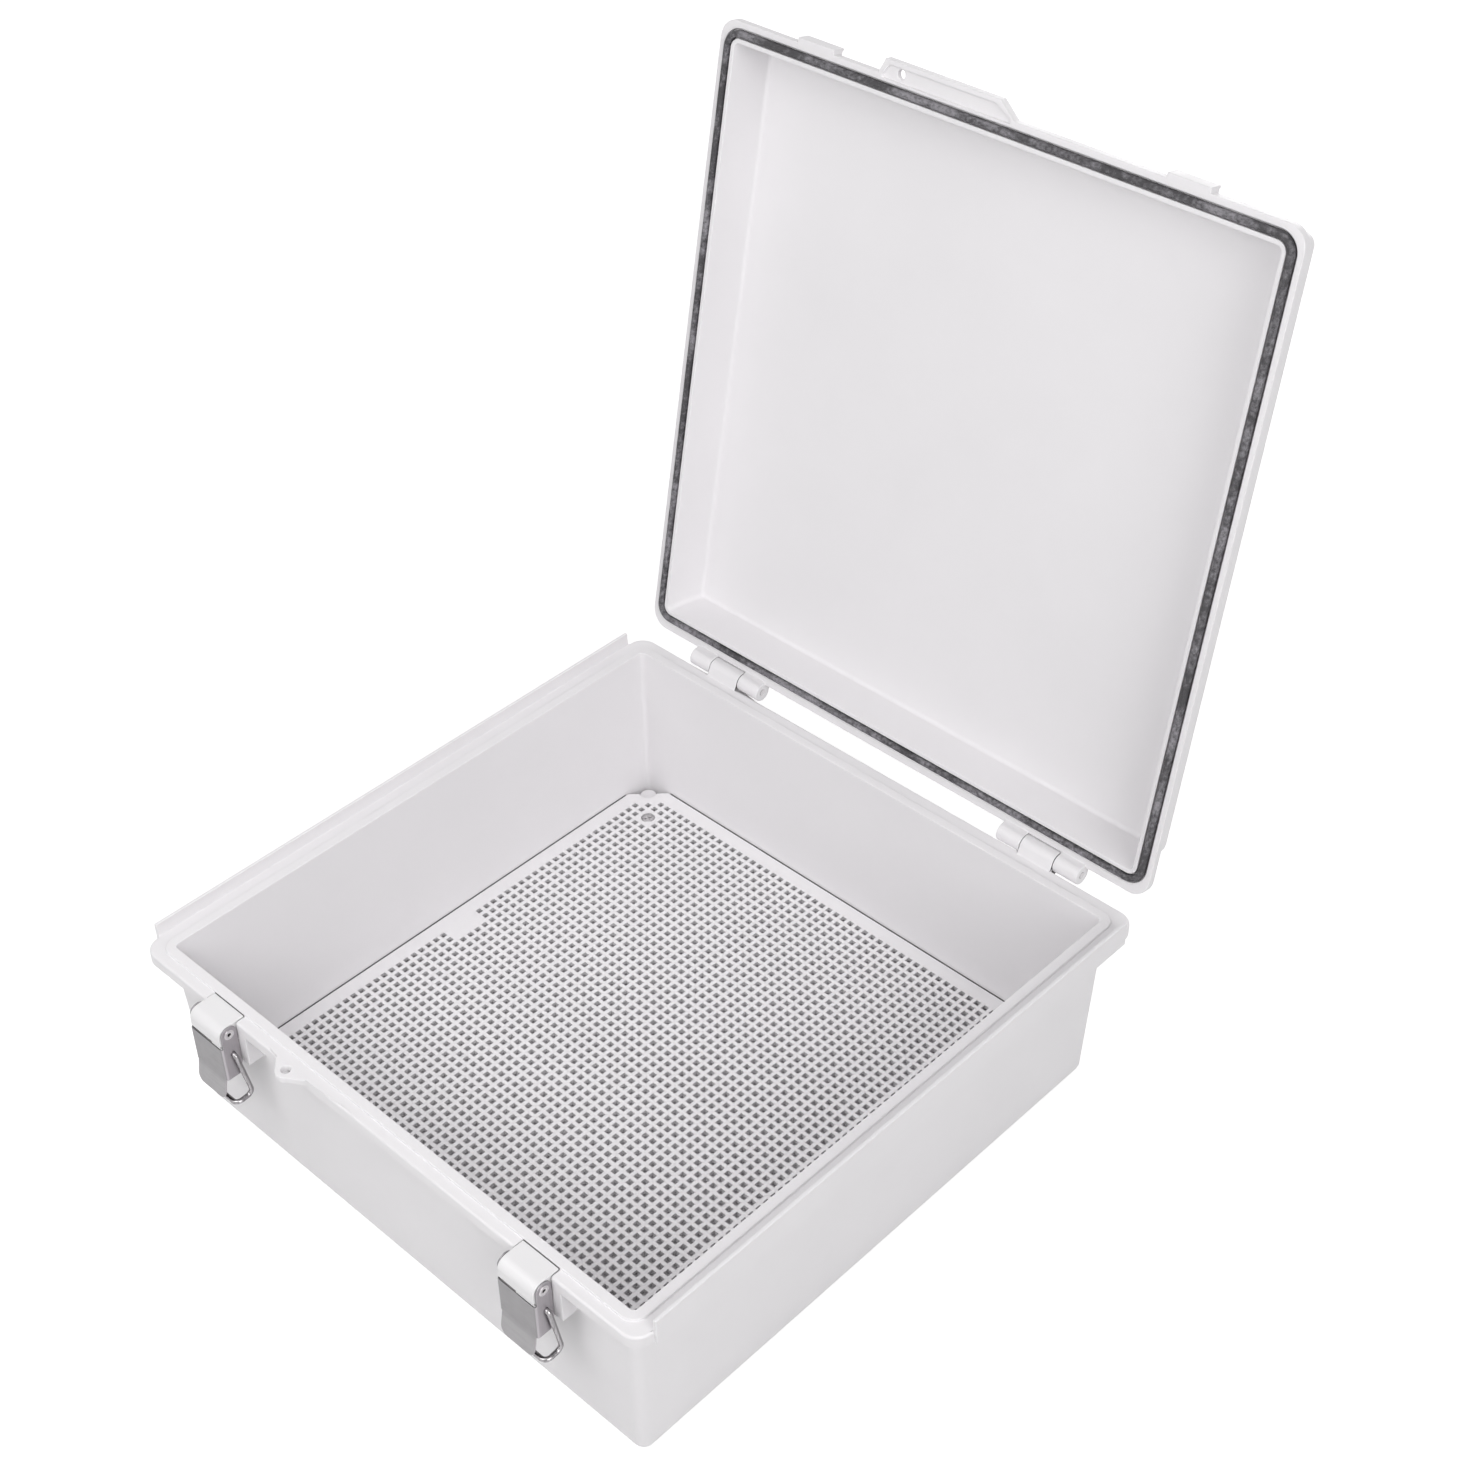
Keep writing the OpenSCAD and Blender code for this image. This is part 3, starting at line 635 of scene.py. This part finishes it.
def redraw(
    node: str, name: str, finish: Finish, body: str, edge_r: float, steps: int = 3,
    shape: Callable[[Object], None] | None = None,
) -> Object:
    """Copies a CAD node's mesh and rounds its sharp edges.

    Args:
        node: The CAD node.
        name: Name of the new piece.
        finish: Its finish.
        body: The body that it rides on.
        edge_r: Width of the rounding, in metres.
        steps: Number of faces across a rounded edge.
        shape: Changes the merged copy before its edges are rounded.

    Returns:
        The finished piece, which replaces the node.
    """
    piece = bpy.data.objects.new(name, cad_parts[node].data.copy())
    bpy.context.scene.collection.objects.link(piece)
    with editing(piece):
        bpy.ops.mesh.select_all(action="SELECT")
        bpy.ops.mesh.remove_doubles(threshold=WELD)
    if shape:
        shape(piece)
    apply_modifier(
        piece, "BEVEL", width=edge_r, segments=steps, limit_method="ANGLE",
        angle_limit=math.radians(EDGE_ANGLE), use_clamp_overlap=False, loop_slide=False,
    )
    with editing(piece):
        bpy.ops.mesh.select_all(action="SELECT")
        bpy.ops.mesh.remove_doubles(threshold=TINY)
        bpy.ops.mesh.dissolve_degenerate(threshold=TINY)
    settle(piece, name, EDGE_ANGLE)
    apply_modifier(piece, "WEIGHTED_NORMAL", mode="FACE_AREA", keep_sharp=True)
    finish.dress(piece)
    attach(piece, body)
    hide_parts(node)
    return piece


@dataclass
class MountingPlate:
    """Perforated plate on the tub's bosses, with recessed screws in its corners.

    Attributes:
        half: Half of the plate's width and depth.
        low: Height of its underside.
        thick: Thickness.
        pitch: Distance between neighbouring holes, the width of a cell.
        hole: Width of a square hole.
        count: Number of cells along each side.
        middle_slack: How far off the middle of its cell a hole's centre may lie, in cells.
        screw_plain: Half of the plain square round a screw, in cells.
        corner_plain: How far the plain corners reach in, in cells.
        patch_deep: How far the plain patch reaches in from the left, in cells.
        patch_ends: Front and back ends of that patch, in cells from the middle.
        corner_cut: Leg of the cut-off corners.
        post: Distance of the corner posts from the middle, along X and Y.
        post_relief_r: Radius of the relief round a post.
        screw: Distance of the screws from the middle, along X and Y.
        sink_r: Radius of the sink that takes a screw's head.
        sink_depth: Depth of that sink.
        sink_slack: How far outside that radius a face of its wall may lie.
        finish: Finish of the plate.
        hole_shade: Painted shade on the walls of its holes and sinks.
    """

    half: float = 179.65 * MM
    low: float = 12.5 * MM
    thick: float = 3.0 * MM
    pitch: float = 6.0 * MM
    hole: float = 3.5 * MM
    count: int = 57
    middle_slack: float = 0.05
    screw_plain: float = 1.05
    corner_plain: float = 1.5
    patch_deep: float = 1.5
    patch_ends: Pair = (-1.5, 2.5)
    corner_cut: float = 19.0 * MM
    post: float = 171.5 * MM
    post_relief_r: float = 6.2 * MM
    screw: float = 153.15 * MM
    sink_r: float = 4.6 * MM
    sink_depth: float = 1.8 * MM
    sink_slack: float = 0.1 * MM
    finish: MouldedPlastic = PLATE
    hole_shade: MouldedPlastic = HOLE_SHADE

    @property
    def top(self) -> float:
        """Height of the plate's upper face."""
        return self.low + self.thick

    @property
    def grid_half(self) -> float:
        """Half of the perforated square, to its outermost cell edges."""
        return self.count * self.pitch / 2

    @property
    def bar(self) -> float:
        """Width of the bars between the holes."""
        return self.pitch - self.hole

    def is_open(self, at: Vector) -> bool:
        """Says whether the cell round a place has a hole.

        Args:
            at: The place.

        Returns:
            False round the screws, in the corners and on the plain patch of the left edge.
        """
        x, y = abs(at.x), abs(at.y)
        last = self.grid_half - self.pitch / 2
        near_screw = max(abs(x - self.screw), abs(y - self.screw)) < self.screw_plain * self.pitch
        in_corner = x + y > 2 * last - self.corner_plain * self.pitch
        at_left = at.x < -last + self.patch_deep * self.pitch
        on_patch = at_left and self.patch_ends[0] < at.y / self.pitch < self.patch_ends[1]
        return not (near_screw or in_corner or on_patch)

    def is_shaded_wall(self, at: Vector, normal: Vector) -> bool:
        """Says whether a face is the wall of a hole or of a screw's sink, which gets painted shade.

        Args:
            at: Centre of the face.
            normal: Its normal.

        Returns:
            True for such a wall.
        """
        away = math.hypot(abs(at.x) - self.screw, abs(at.y) - self.screw)
        in_hole = max(abs(at.x), abs(at.y)) < self.grid_half - self.bar / 4 and self.is_open(at)
        return abs(normal.z) < WALL_LEAN and (in_hole or away < self.sink_r + self.sink_slack)

    def build(self) -> Object:
        """Models the plate from a grid: holes inset in its cells, a border drawn out and corners cut off.

        Returns:
            The finished plate.
        """
        bpy.ops.object.select_all(action="DESELECT")
        bpy.ops.mesh.primitive_grid_add(
            x_subdivisions=self.count, y_subdivisions=self.count, size=2 * self.grid_half,
            location=(0, 0, self.top),
        )
        plate = bpy.context.active_object
        with editing(plate):
            self.open_holes(plate)
            self.draw_border(plate)
            self.cut_corners()
        apply_modifier(plate, "SOLIDIFY", thickness=self.thick, offset=-1.0, use_even_offset=False)
        above = self.top + self.thick
        cutters = []
        for corner in Corner:
            cutters.append(
                add_cylinder(self.post_relief_r, self.low - self.thick, above, corner.at(self.post))
            )
            cutters.append(
                add_cylinder(self.sink_r, self.top - self.sink_depth, above, corner.at(self.screw))
            )
        cutter = join(cutters)
        apply_modifier(plate, "BOOLEAN", operation="DIFFERENCE", object=cutter, solver="EXACT")
        discard(cutter)
        settle(plate, "perforated_plate")
        self.finish.dress(plate)
        # Paints shade on the walls of the holes and sinks.
        self.hole_shade.dress_faces(plate, self.is_shaded_wall)
        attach(plate, "base")
        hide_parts("mounting_plate")
        return plate

    def open_holes(self, plate: Object) -> None:
        """Insets a square in each cell and deletes it where there is a hole.

        Args:
            plate: The grid, in edit mode.
        """
        bpy.ops.mesh.select_all(action="SELECT")
        bpy.ops.mesh.inset(thickness=self.bar / 2, use_individual=True)
        bm = bmesh.from_edit_mesh(plate.data)
        for face in bm.faces:
            centre = face.calc_center_median()
            offset = [(c + self.grid_half) / self.pitch % 1 for c in centre[:2]]
            middle = all(abs(o - 0.5) < self.middle_slack for o in offset)
            face.select_set(middle and self.is_open(centre))
        bmesh.update_edit_mesh(plate.data)
        bpy.ops.mesh.delete(type="FACE")

    def draw_border(self, plate: Object) -> None:
        """Draws the grid's outer edges out to the plate's own edges, first along X and then along Y.

        Args:
            plate: The grid, in edit mode.
        """
        edge, reach = self.grid_half, self.half - self.grid_half
        for axis in (0, 1):
            for sign in (-1, 1):
                pick_edges(plate, lambda a, b: all(abs(sign * v[axis] - edge) < HAIR for v in (a, b)))
                shift = [0.0, 0.0, 0.0]
                shift[axis] = sign * reach
                bpy.ops.mesh.extrude_edges_move(TRANSFORM_OT_translate={"value": tuple(shift)})

    def cut_corners(self) -> None:
        """Cuts the four corners of the sheet in edit mode off at 45 degrees."""
        for corner in Corner:
            sx, sy = corner.value
            bpy.ops.mesh.select_all(action="SELECT")
            bpy.ops.mesh.bisect(
                plane_co=(sx * (self.half - self.corner_cut), sy * self.half, self.top),
                plane_no=(sx, sy, 0),
                clear_outer=True,
            )


@dataclass
class PlateScrews:
    """Pan-head screws with a cross recess, sunk in the plate's corners.

    Attributes:
        head_r: Radius of the head.
        head_h: Height of the head.
        head_sides: Number of the head's sides.
        crown: Rounding of the head's upper edge, as a share of its height.
        crown_steps: Number of faces across that rounding.
        seat: Height of the face that the head stands on.
        shank_r: Radius of the shank.
        shank_len: Length of the shank under the head.
        recess_w: Width of the cross recess's arms.
        recess_len: Length of the cross recess's arms.
        recess_depth: Depth of the cross recess.
        place: Distance of the screws from the middle, along X and Y.
        first_turn: How far the first screw is turned, in radians.
        next_turn: How much further each next one is turned.
        finish: Finish of the screws.
    """

    head_r: float = 3.9 * MM
    head_h: float = 1.3 * MM
    head_sides: int = 40
    crown: float = 0.45
    crown_steps: int = 4
    seat: float = 13.7 * MM
    shank_r: float = 1.5 * MM
    shank_len: float = 8.0 * MM
    recess_w: float = 1.2 * MM
    recess_len: float = 5.0 * MM
    recess_depth: float = 0.95 * MM
    place: float = 153.15 * MM
    first_turn: float = 0.5
    next_turn: float = 1.1
    finish: WorkedSteel = SCREW

    def pattern(self) -> Object:
        """Models one screw at the middle of the frame.

        Returns:
            The screw, upright on its seat height.
        """
        top = self.seat + self.head_h
        screw = add_cylinder(self.head_r, self.seat, top, (0, 0), self.head_sides)
        with editing(screw):
            pick_faces(screw, lambda at, normal: normal.z < -FACING)
            bpy.ops.mesh.inset(thickness=self.head_r - self.shank_r)
            bpy.ops.mesh.extrude_region_move(TRANSFORM_OT_translate={"value": (0, 0, -self.shank_len)})
            pick_edges(screw, lambda a, b: min(a.z, b.z) > top - HAIR)
            bpy.ops.mesh.bevel(offset=self.crown * self.head_h, segments=self.crown_steps, affect="EDGES")
        for turn in (0, 90):
            bpy.ops.object.select_all(action="DESELECT")
            bpy.ops.mesh.primitive_cube_add(
                size=1, location=(0, 0, top), rotation=(0, 0, math.radians(turn))
            )
            arm = bpy.context.active_object
            arm.scale = (self.recess_len, self.recess_w, 2 * self.recess_depth)
            bpy.ops.object.transform_apply(location=True, rotation=True, scale=True)
            apply_modifier(screw, "BOOLEAN", operation="DIFFERENCE", object=arm, solver="EXACT")
            discard(arm)
        return screw

    def build(self) -> list[Object]:
        """Copies the screw to the four corners, each a little turned.

        Returns:
            The four screws.
        """
        pattern = self.pattern()
        made = []
        for index, corner in enumerate(Corner):
            screw = bpy.data.objects.new("screw", pattern.data.copy())
            bpy.context.scene.collection.objects.link(screw)
            turn = Matrix.Rotation(self.first_turn + self.next_turn * index, 4, "Z")
            screw.matrix_world = Matrix.Translation((*corner.at(self.place), 0)) @ turn
            settle(screw, "plate_screw_" + corner.label + "_dressed")
            self.finish.dress(screw)
            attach(screw, "base")
            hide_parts("plate_screw_" + corner.label)
            made.append(screw)
        discard(pattern)
        return made


@dataclass
class Tub:
    """Moulded tub with its flange, posts and latch pads.

    Attributes:
        edge_r: Rounding of its edges.
        flange_r: Softer rounding of the flange's upper outer edge.
        flange_steps: Number of faces across that rounding.
        flange_x: Half of the flange's width.
        flange_front: The flange's front edge, along Y.
        flange_back: The flange's back edge, along Y.
        flange_top: Height of the flange's upper face.
        corner_r: Radius of the flange's corners.
        rim_slack: How far off the flange's outline a point of its edge may lie.
        level_slack: How far off the flange's height such a point may lie.
        rim_angle: Least angle between the two faces at that edge, in degrees.
        latch_x: Distance of the latches from the middle.
        pocket_half: Half of a width that holds a latch's pocket.
        pocket_depth: Depth behind the flange's front edge that holds that pocket.
        post: Distance of the corner posts from the middle, along X and Y.
        post_r: Radius within which a post lies.
        post_top: Height of a post, just under the plate's upper face.
        post_cut: Most that is taken off a post.
        plate_top: Height of the plate's upper face, under which the walls lie in its gap.
        wall_near: Distance from the middle within which no inner wall lies at the plate's height.
        wall_far: Distance from the middle within which every inner wall lies there.
        strip_half: Half of the length of a wall that the plate's straight edge runs along.
        hinge_y: Place of the hinges' axis along Y.
        hinge_z: Height of the hinges' axis.
        knuckle_r: Radius within which a hinge knuckle's end lies.
        finish: Finish of the tub.
        joint_shade: Painted shade on the faces in its narrow joints.
    """

    edge_r: float = 0.5 * MM
    flange_r: float = 1.5 * MM
    flange_steps: int = 5
    flange_x: float = 199.3 * MM
    flange_front: float = -197.5 * MM
    flange_back: float = 199.2 * MM
    flange_top: float = 117.0 * MM
    corner_r: float = 11.0 * MM
    rim_slack: float = 0.1 * MM
    level_slack: float = 0.02 * MM
    rim_angle: float = 60.0
    latch_x: float = 126.0 * MM
    pocket_half: float = 13.65 * MM
    pocket_depth: float = 6.6 * MM
    post: float = 171.5 * MM
    post_r: float = 5.6 * MM
    post_top: float = 12.9 * MM
    post_cut: float = 5.0 * MM
    plate_top: float = 15.5 * MM
    wall_near: float = 179.8 * MM
    wall_far: float = 181.5 * MM
    strip_half: float = 159.5 * MM
    hinge_y: float = 205.0 * MM
    hinge_z: float = 120.1 * MM
    knuckle_r: float = 8.0 * MM
    finish: MouldedPlastic = SHELL
    joint_shade: MouldedPlastic = JOINT_SHADE

    def build(self) -> Object:
        """Redraws the tub with rounded edges and darkens its narrow joints with painted shade.

        Returns:
            The finished tub.
        """
        tub = redraw(
            "base_shell", "tub_shell", self.finish, "base", self.edge_r, shape=self.reshape
        )
        # Paints shade on the latch pockets, the knuckle ends and the walls beside the plate.
        self.joint_shade.dress_faces(tub, self.gets_joint_shade)
        return tub

    def reshape(self, tub: Object) -> None:
        """Lowers the posts, softens the flange and parts the walls, before the edges are rounded.

        Args:
            tub: The tub's copy.
        """
        for step in (self.lower_posts, self.soften_flange, self.part_walls):
            with editing(tub):
                step(tub)

    def lower_posts(self, tub: Object) -> None:
        """Brings the tops of the corner posts down into the plate's thickness.

        Args:
            tub: The tub's copy, in edit mode.
        """
        bm = bmesh.from_edit_mesh(tub.data)
        for vert in bm.verts:
            away = math.hypot(abs(vert.co.x) - self.post, abs(vert.co.y) - self.post)
            if away < self.post_r and self.post_top < vert.co.z < self.post_top + self.post_cut:
                vert.co.z = self.post_top
        bmesh.update_edit_mesh(tub.data)

    def on_rim(self, at: Vector) -> bool:
        """Says whether a place is on the flange's upper outer edge.

        Args:
            at: The place.

        Returns:
            True where it lies on that edge, within the slack.
        """
        middle = (self.flange_front + self.flange_back) / 2
        x = abs(at.x) - self.flange_x + self.corner_r
        y = abs(at.y - middle) - (self.flange_back - self.flange_front) / 2 + self.corner_r
        away = math.hypot(x, y) if x > 0 and y > 0 else max(x, y)
        level = abs(at.z - self.flange_top) < self.level_slack
        return level and abs(away - self.corner_r) < self.rim_slack

    def soften_flange(self, tub: Object) -> None:
        """Rounds the flange's upper outer edge, in edit mode, more than the others."""
        pick_edges(tub, lambda a, b: self.on_rim(a) and self.on_rim(b), self.rim_angle)
        bpy.ops.mesh.bevel(offset=self.flange_r, segments=self.flange_steps, affect="EDGES", loop_slide=False)

    def part_walls(self, tub: Object) -> None:
        """Parts the inner walls at the plate's upper face and at its cut corners.

        Args:
            tub: The tub's copy, in edit mode.
        """
        bpy.ops.mesh.select_all(action="SELECT")
        bpy.ops.mesh.bisect(plane_co=(0, 0, self.plate_top), plane_no=(0, 0, 1))
        for side in (Vector((1, 0, 0)), Vector((-1, 0, 0)), Vector((0, 1, 0)), Vector((0, -1, 0))):
            pick_faces(tub, self.is_low_wall)
            bpy.ops.mesh.bisect(plane_co=side * self.strip_half, plane_no=side)

    def is_low_wall(self, at: Vector, normal: Vector) -> bool:
        """Says whether a face is on an inner wall, lower than the plate's upper face."""
        out = max(abs(at.x), abs(at.y))
        return abs(normal.z) < WALL_LEAN and at.z < self.plate_top and self.wall_near < out < self.wall_far

    def gets_joint_shade(self, at: Vector, normal: Vector) -> bool:
        """Says whether a face lies in a joint that is seen only as a thin line, and so gets painted shade.

        Args:
            at: Centre of the face.
            normal: Its normal.

        Returns:
            True in the latch pockets, on the ends of the hinge knuckles and on the walls beside the plate.
        """
        in_pocket = (
            normal.z < UPWARD
            and abs(abs(at.x) - self.latch_x) < self.pocket_half
            and self.flange_front < at.y < self.flange_front + self.pocket_depth
            and at.z < self.flange_top
        )
        from_axis = math.hypot(at.y - self.hinge_y, at.z - self.hinge_z)
        on_knuckle = abs(normal.x) > FACING and from_axis < self.knuckle_r
        by_plate = self.is_low_wall(at, normal) and min(abs(at.x), abs(at.y)) < self.strip_half
        return in_pocket or on_knuckle or by_plate


@dataclass
class Lid:
    """Dished lid with its foam seal and the two hinge pins.

    Attributes:
        edge_r: Rounding of the lid's edges.
        bead_r: Rounding of the foam bead.
        bead_steps: Number of faces across that rounding.
        bead_slim: How far the bead's sides stand back from its channel.
        bead_lean: Most that the normal of a side may follow the bead's axis.
        finish: Finish of the lid.
        foam: Finish of the bead.
        pin: Finish of the hinge pins.
    """

    edge_r: float = 0.5 * MM
    bead_r: float = 1.7 * MM
    bead_steps: int = 4
    bead_slim: float = 0.9 * MM
    bead_lean: float = 0.3
    finish: MouldedPlastic = SHELL
    foam: SealFoam = FOAM
    pin: WorkedSteel = PIN

    def build(self) -> list[Object]:
        """Redraws the lid and its seal with rounded edges, and dresses the hinge pins.

        Returns:
            The lid and the seal.
        """
        for side in Side:
            self.pin.dress(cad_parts["hinge_pin_" + side.label])
        lid = redraw("lid_shell", "dished_lid", self.finish, "lid", self.edge_r)
        bead = redraw(
            "lid_gasket", "foam_bead", self.foam, "lid", self.bead_r, self.bead_steps,
            self.slim_bead,
        )
        return [lid, bead]

    def slim_bead(self, bead: Object) -> None:
        """Sets the bead's side walls back, so that it stands free in its channel.

        Args:
            bead: The seal's copy.
        """
        with editing(bead):
            bm = bmesh.from_edit_mesh(bead.data)
            axis = max(bm.faces, key=lambda f: f.calc_area()).normal.copy()
            moves = {}
            for vert in bm.verts:
                walls = [f.normal for f in vert.link_faces if abs(f.normal.dot(axis)) < self.bead_lean]
                if walls:
                    moves[vert] = sum(walls, Vector()).normalized() * self.bead_slim
            for vert, move in moves.items():
                vert.co -= move
            bmesh.update_edit_mesh(bead.data)


@dataclass
class Latch:
    """One draw latch: moulded block, folded lever, hollow rivet and wire bail.

    Attributes:
        side: Left or right latch.
        block_edge_r: Rounding of the block's edges.
        lever_edge_r: Rounding of the lever's sheet edges.
        rivet_edge_r: Rounding of the rivet's rolled flanges.
        cheek_facing: How far a face has to point sideways to count as a cheek.
        block: Finish of the block.
        lever: Finish of the lever.
        lit_cheek: A paler copy of the lever's steel, painted lighter on its cheeks, and not brushed.
        rivet: Finish of the rivet.
        wire: Finish of the bail.
    """

    side: Side
    block_edge_r: float = 0.45 * MM
    lever_edge_r: float = 0.2 * MM
    rivet_edge_r: float = 0.15 * MM
    cheek_facing: float = 0.7
    block: MouldedPlastic = BLOCK
    lever: WorkedSteel = LEVER
    lit_cheek: WorkedSteel = LIT_CHEEK
    rivet: WorkedSteel = RIVET
    wire: WorkedSteel = WIRE

    def build(self) -> list[Object]:
        """Redraws the block, lever and rivet with rounded edges, and dresses the bail.

        Returns:
            The three new pieces.
        """
        label = self.side.label
        body = "lever_" + label
        self.wire.dress(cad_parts["latch_bail_" + label])
        block = redraw(
            "latch_block_" + label, "cap_block_" + label, self.block, "base",
            self.block_edge_r,
        )
        lever = redraw(
            "latch_lever_" + label, "folded_lever_" + label, self.lever, body,
            self.lever_edge_r,
        )
        rivet = redraw(
            "latch_rivet_" + label, "eyelet_" + label, self.rivet, body, self.rivet_edge_r
        )
        # The lever's side faces get the paler steel, painted lighter than its front.
        self.lit_cheek.dress_faces(lever, lambda at, normal: abs(normal.x) > self.cheek_facing)
        return [block, lever, rivet]


# Studio


@dataclass(frozen=True)
class Lamp:
    """A soft square lamp that the camera doesn't see.

    Attributes:
        name: Its name.
        at: Its place.
        target: The place that it faces.
        size: Its width.
        power: Its power, in watts.
    """

    name: str
    at: Point
    target: Point
    size: float
    power: float

    def build(self) -> None:
        """Adds the lamp to the scene."""
        data = bpy.data.lights.new(self.name, "AREA")
        data.size = self.size
        data.energy = self.power
        lamp = bpy.data.objects.new(self.name, data)
        lamp.location = self.at
        lamp.rotation_euler = (Vector(self.target) - Vector(self.at)).to_track_quat("-Z", "Y").to_euler()
        lamp.visible_camera = False
        bpy.context.scene.collection.objects.link(lamp)


BOX_MIDDLE: Point = (0, 0, 0.15)
LID_MIDDLE: Point = (0, 0.3, 0.42)
LAMPS = (
    Lamp("front", (-0.4, -2.6, 1.7), BOX_MIDDLE, size=2.0, power=8.5),
    Lamp("side", (2.4, -0.8, 1.6), BOX_MIDDLE, size=2.0, power=41.0),
    Lamp("top", (-0.5, -1.6, 2.6), BOX_MIDDLE, size=1.8, power=10.0),
    Lamp("lid_fill", (0, -0.55, 0.75), LID_MIDDLE, size=0.6, power=2.2),
    Lamp("back", (-0.7, 2.7, 0.9), BOX_MIDDLE, size=1.6, power=24.0),
    Lamp("left", (-2.6, 0.5, 0.7), BOX_MIDDLE, size=1.2, power=5.0),
)


@dataclass
class Studio:
    """Pale floor, soft light and the camera.

    Attributes:
        eye: Place of the camera.
        turn: Rotation of the camera, in degrees about X, Y and Z.
        lens: Focal length, in millimetres.
        sensor: Width of the sensor, in millimetres.
        shift: Shift of the frame, as shares of its width.
        sight: Distance to which the camera sees.
        floor_half: Half of the floor's width.
        floor_low: How far the floor lies under the box.
        floor_colour: Colour of the floor.
        floor_roughness: Roughness of the floor.
        floor_glow: Strength of the floor's own light where it is seen directly.
        white: Colour of the surround and of the floor's own light.
        world_level: Strength of the surrounding light.
        lamps: The lamps.
    """

    eye: Point = (0.741801, -0.673487, 1.076052)
    turn: Point = (51.87815, 1.041503, 43.761272)
    lens: float = 59.447
    sensor: float = 36.0
    shift: Pair = (0.005526, -0.034266)
    sight: float = 50.0
    floor_half: float = 6.0
    floor_low: float = 0.2 * MM
    floor_colour: Colour = (0.56, 0.56, 0.56)
    floor_roughness: float = 0.9
    floor_glow: float = 0.66
    white: Colour = (1, 0.995, 1)
    world_level: float = 0.42
    lamps: tuple[Lamp, ...] = LAMPS

    def build(self) -> None:
        """Makes the camera, the floor, the world and the lamps."""
        self.add_camera()
        self.add_floor()
        self.add_world()
        for lamp in self.lamps:
            lamp.build()
        bpy.context.scene.view_settings.view_transform = "Standard"

    def add_camera(self) -> None:
        """Sets the camera at the photographed angle."""
        data = bpy.data.cameras.new("camera")
        data.lens = self.lens
        data.sensor_width = self.sensor
        data.shift_x, data.shift_y = self.shift
        data.clip_end = self.sight
        camera = bpy.data.objects.new("camera", data)
        camera.location = self.eye
        camera.rotation_euler = [math.radians(a) for a in self.turn]
        bpy.context.scene.collection.objects.link(camera)
        bpy.context.scene.camera = camera

    def add_floor(self) -> None:
        """Lays a pale floor under the box, which takes its shadow."""
        bpy.ops.object.select_all(action="DESELECT")
        bpy.ops.mesh.primitive_plane_add(size=2 * self.floor_half, location=(0, 0, -self.floor_low))
        floor = bpy.context.active_object
        floor.name = "floor"
        material = bpy.data.materials.new("studio_floor")
        material.use_nodes = True
        tree = Tree(material.node_tree)
        shader = material.node_tree.nodes["Principled BSDF"]
        shader.inputs["Base Color"].default_value = (*self.floor_colour, 1)
        shader.inputs["Roughness"].default_value = self.floor_roughness
        shader.inputs["Specular IOR Level"].default_value = 0.0
        shader.inputs["Emission Color"].default_value = (*self.white, 1)
        tree.link(self.seen_directly(tree, self.floor_glow), shader.inputs["Emission Strength"])
        floor.data.materials.append(material)

    @staticmethod
    def seen_directly(tree: Tree, strength: float) -> NodeSocket:
        """A strength that only camera, mirror and glass rays see.

        Args:
            tree: The material's or world's tree.
            strength: Strength for those rays.

        Returns:
            A value socket.
        """
        path = tree.add("LightPath")
        seen = tree.math("MAXIMUM", path.outputs["Is Camera Ray"], path.outputs["Is Glossy Ray"])
        seen = tree.math("MAXIMUM", seen, path.outputs["Is Transmission Ray"])
        return tree.math("MULTIPLY", seen, strength)

    def add_world(self) -> None:
        """Sets an even white surround, white where it is seen directly."""
        world = bpy.data.worlds.new("studio")
        bpy.context.scene.world = world
        world.use_nodes = True
        tree = Tree(world.node_tree)
        background = world.node_tree.nodes["Background"]
        background.inputs["Color"].default_value = (*self.white, 1)
        extra = self.seen_directly(tree, 1.0 - self.world_level)
        tree.link(tree.math("ADD", extra, self.world_level), background.inputs["Strength"])


def main() -> None:
    """Builds and dresses the box, then sets the studio."""
    logging.basicConfig(level=logging.INFO, format="%(name)s: %(message)s")
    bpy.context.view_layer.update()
    Studio().build()
    pieces = [Tub().build(), *Lid().build(), MountingPlate().build(), *PlateScrews().build()]
    for side in Side:
        pieces += Latch(side).build()
    for piece in pieces:
        LOG.info("built %s with %d faces", piece.name, len(piece.data.polygons))


if __name__ == "__main__":
    main()
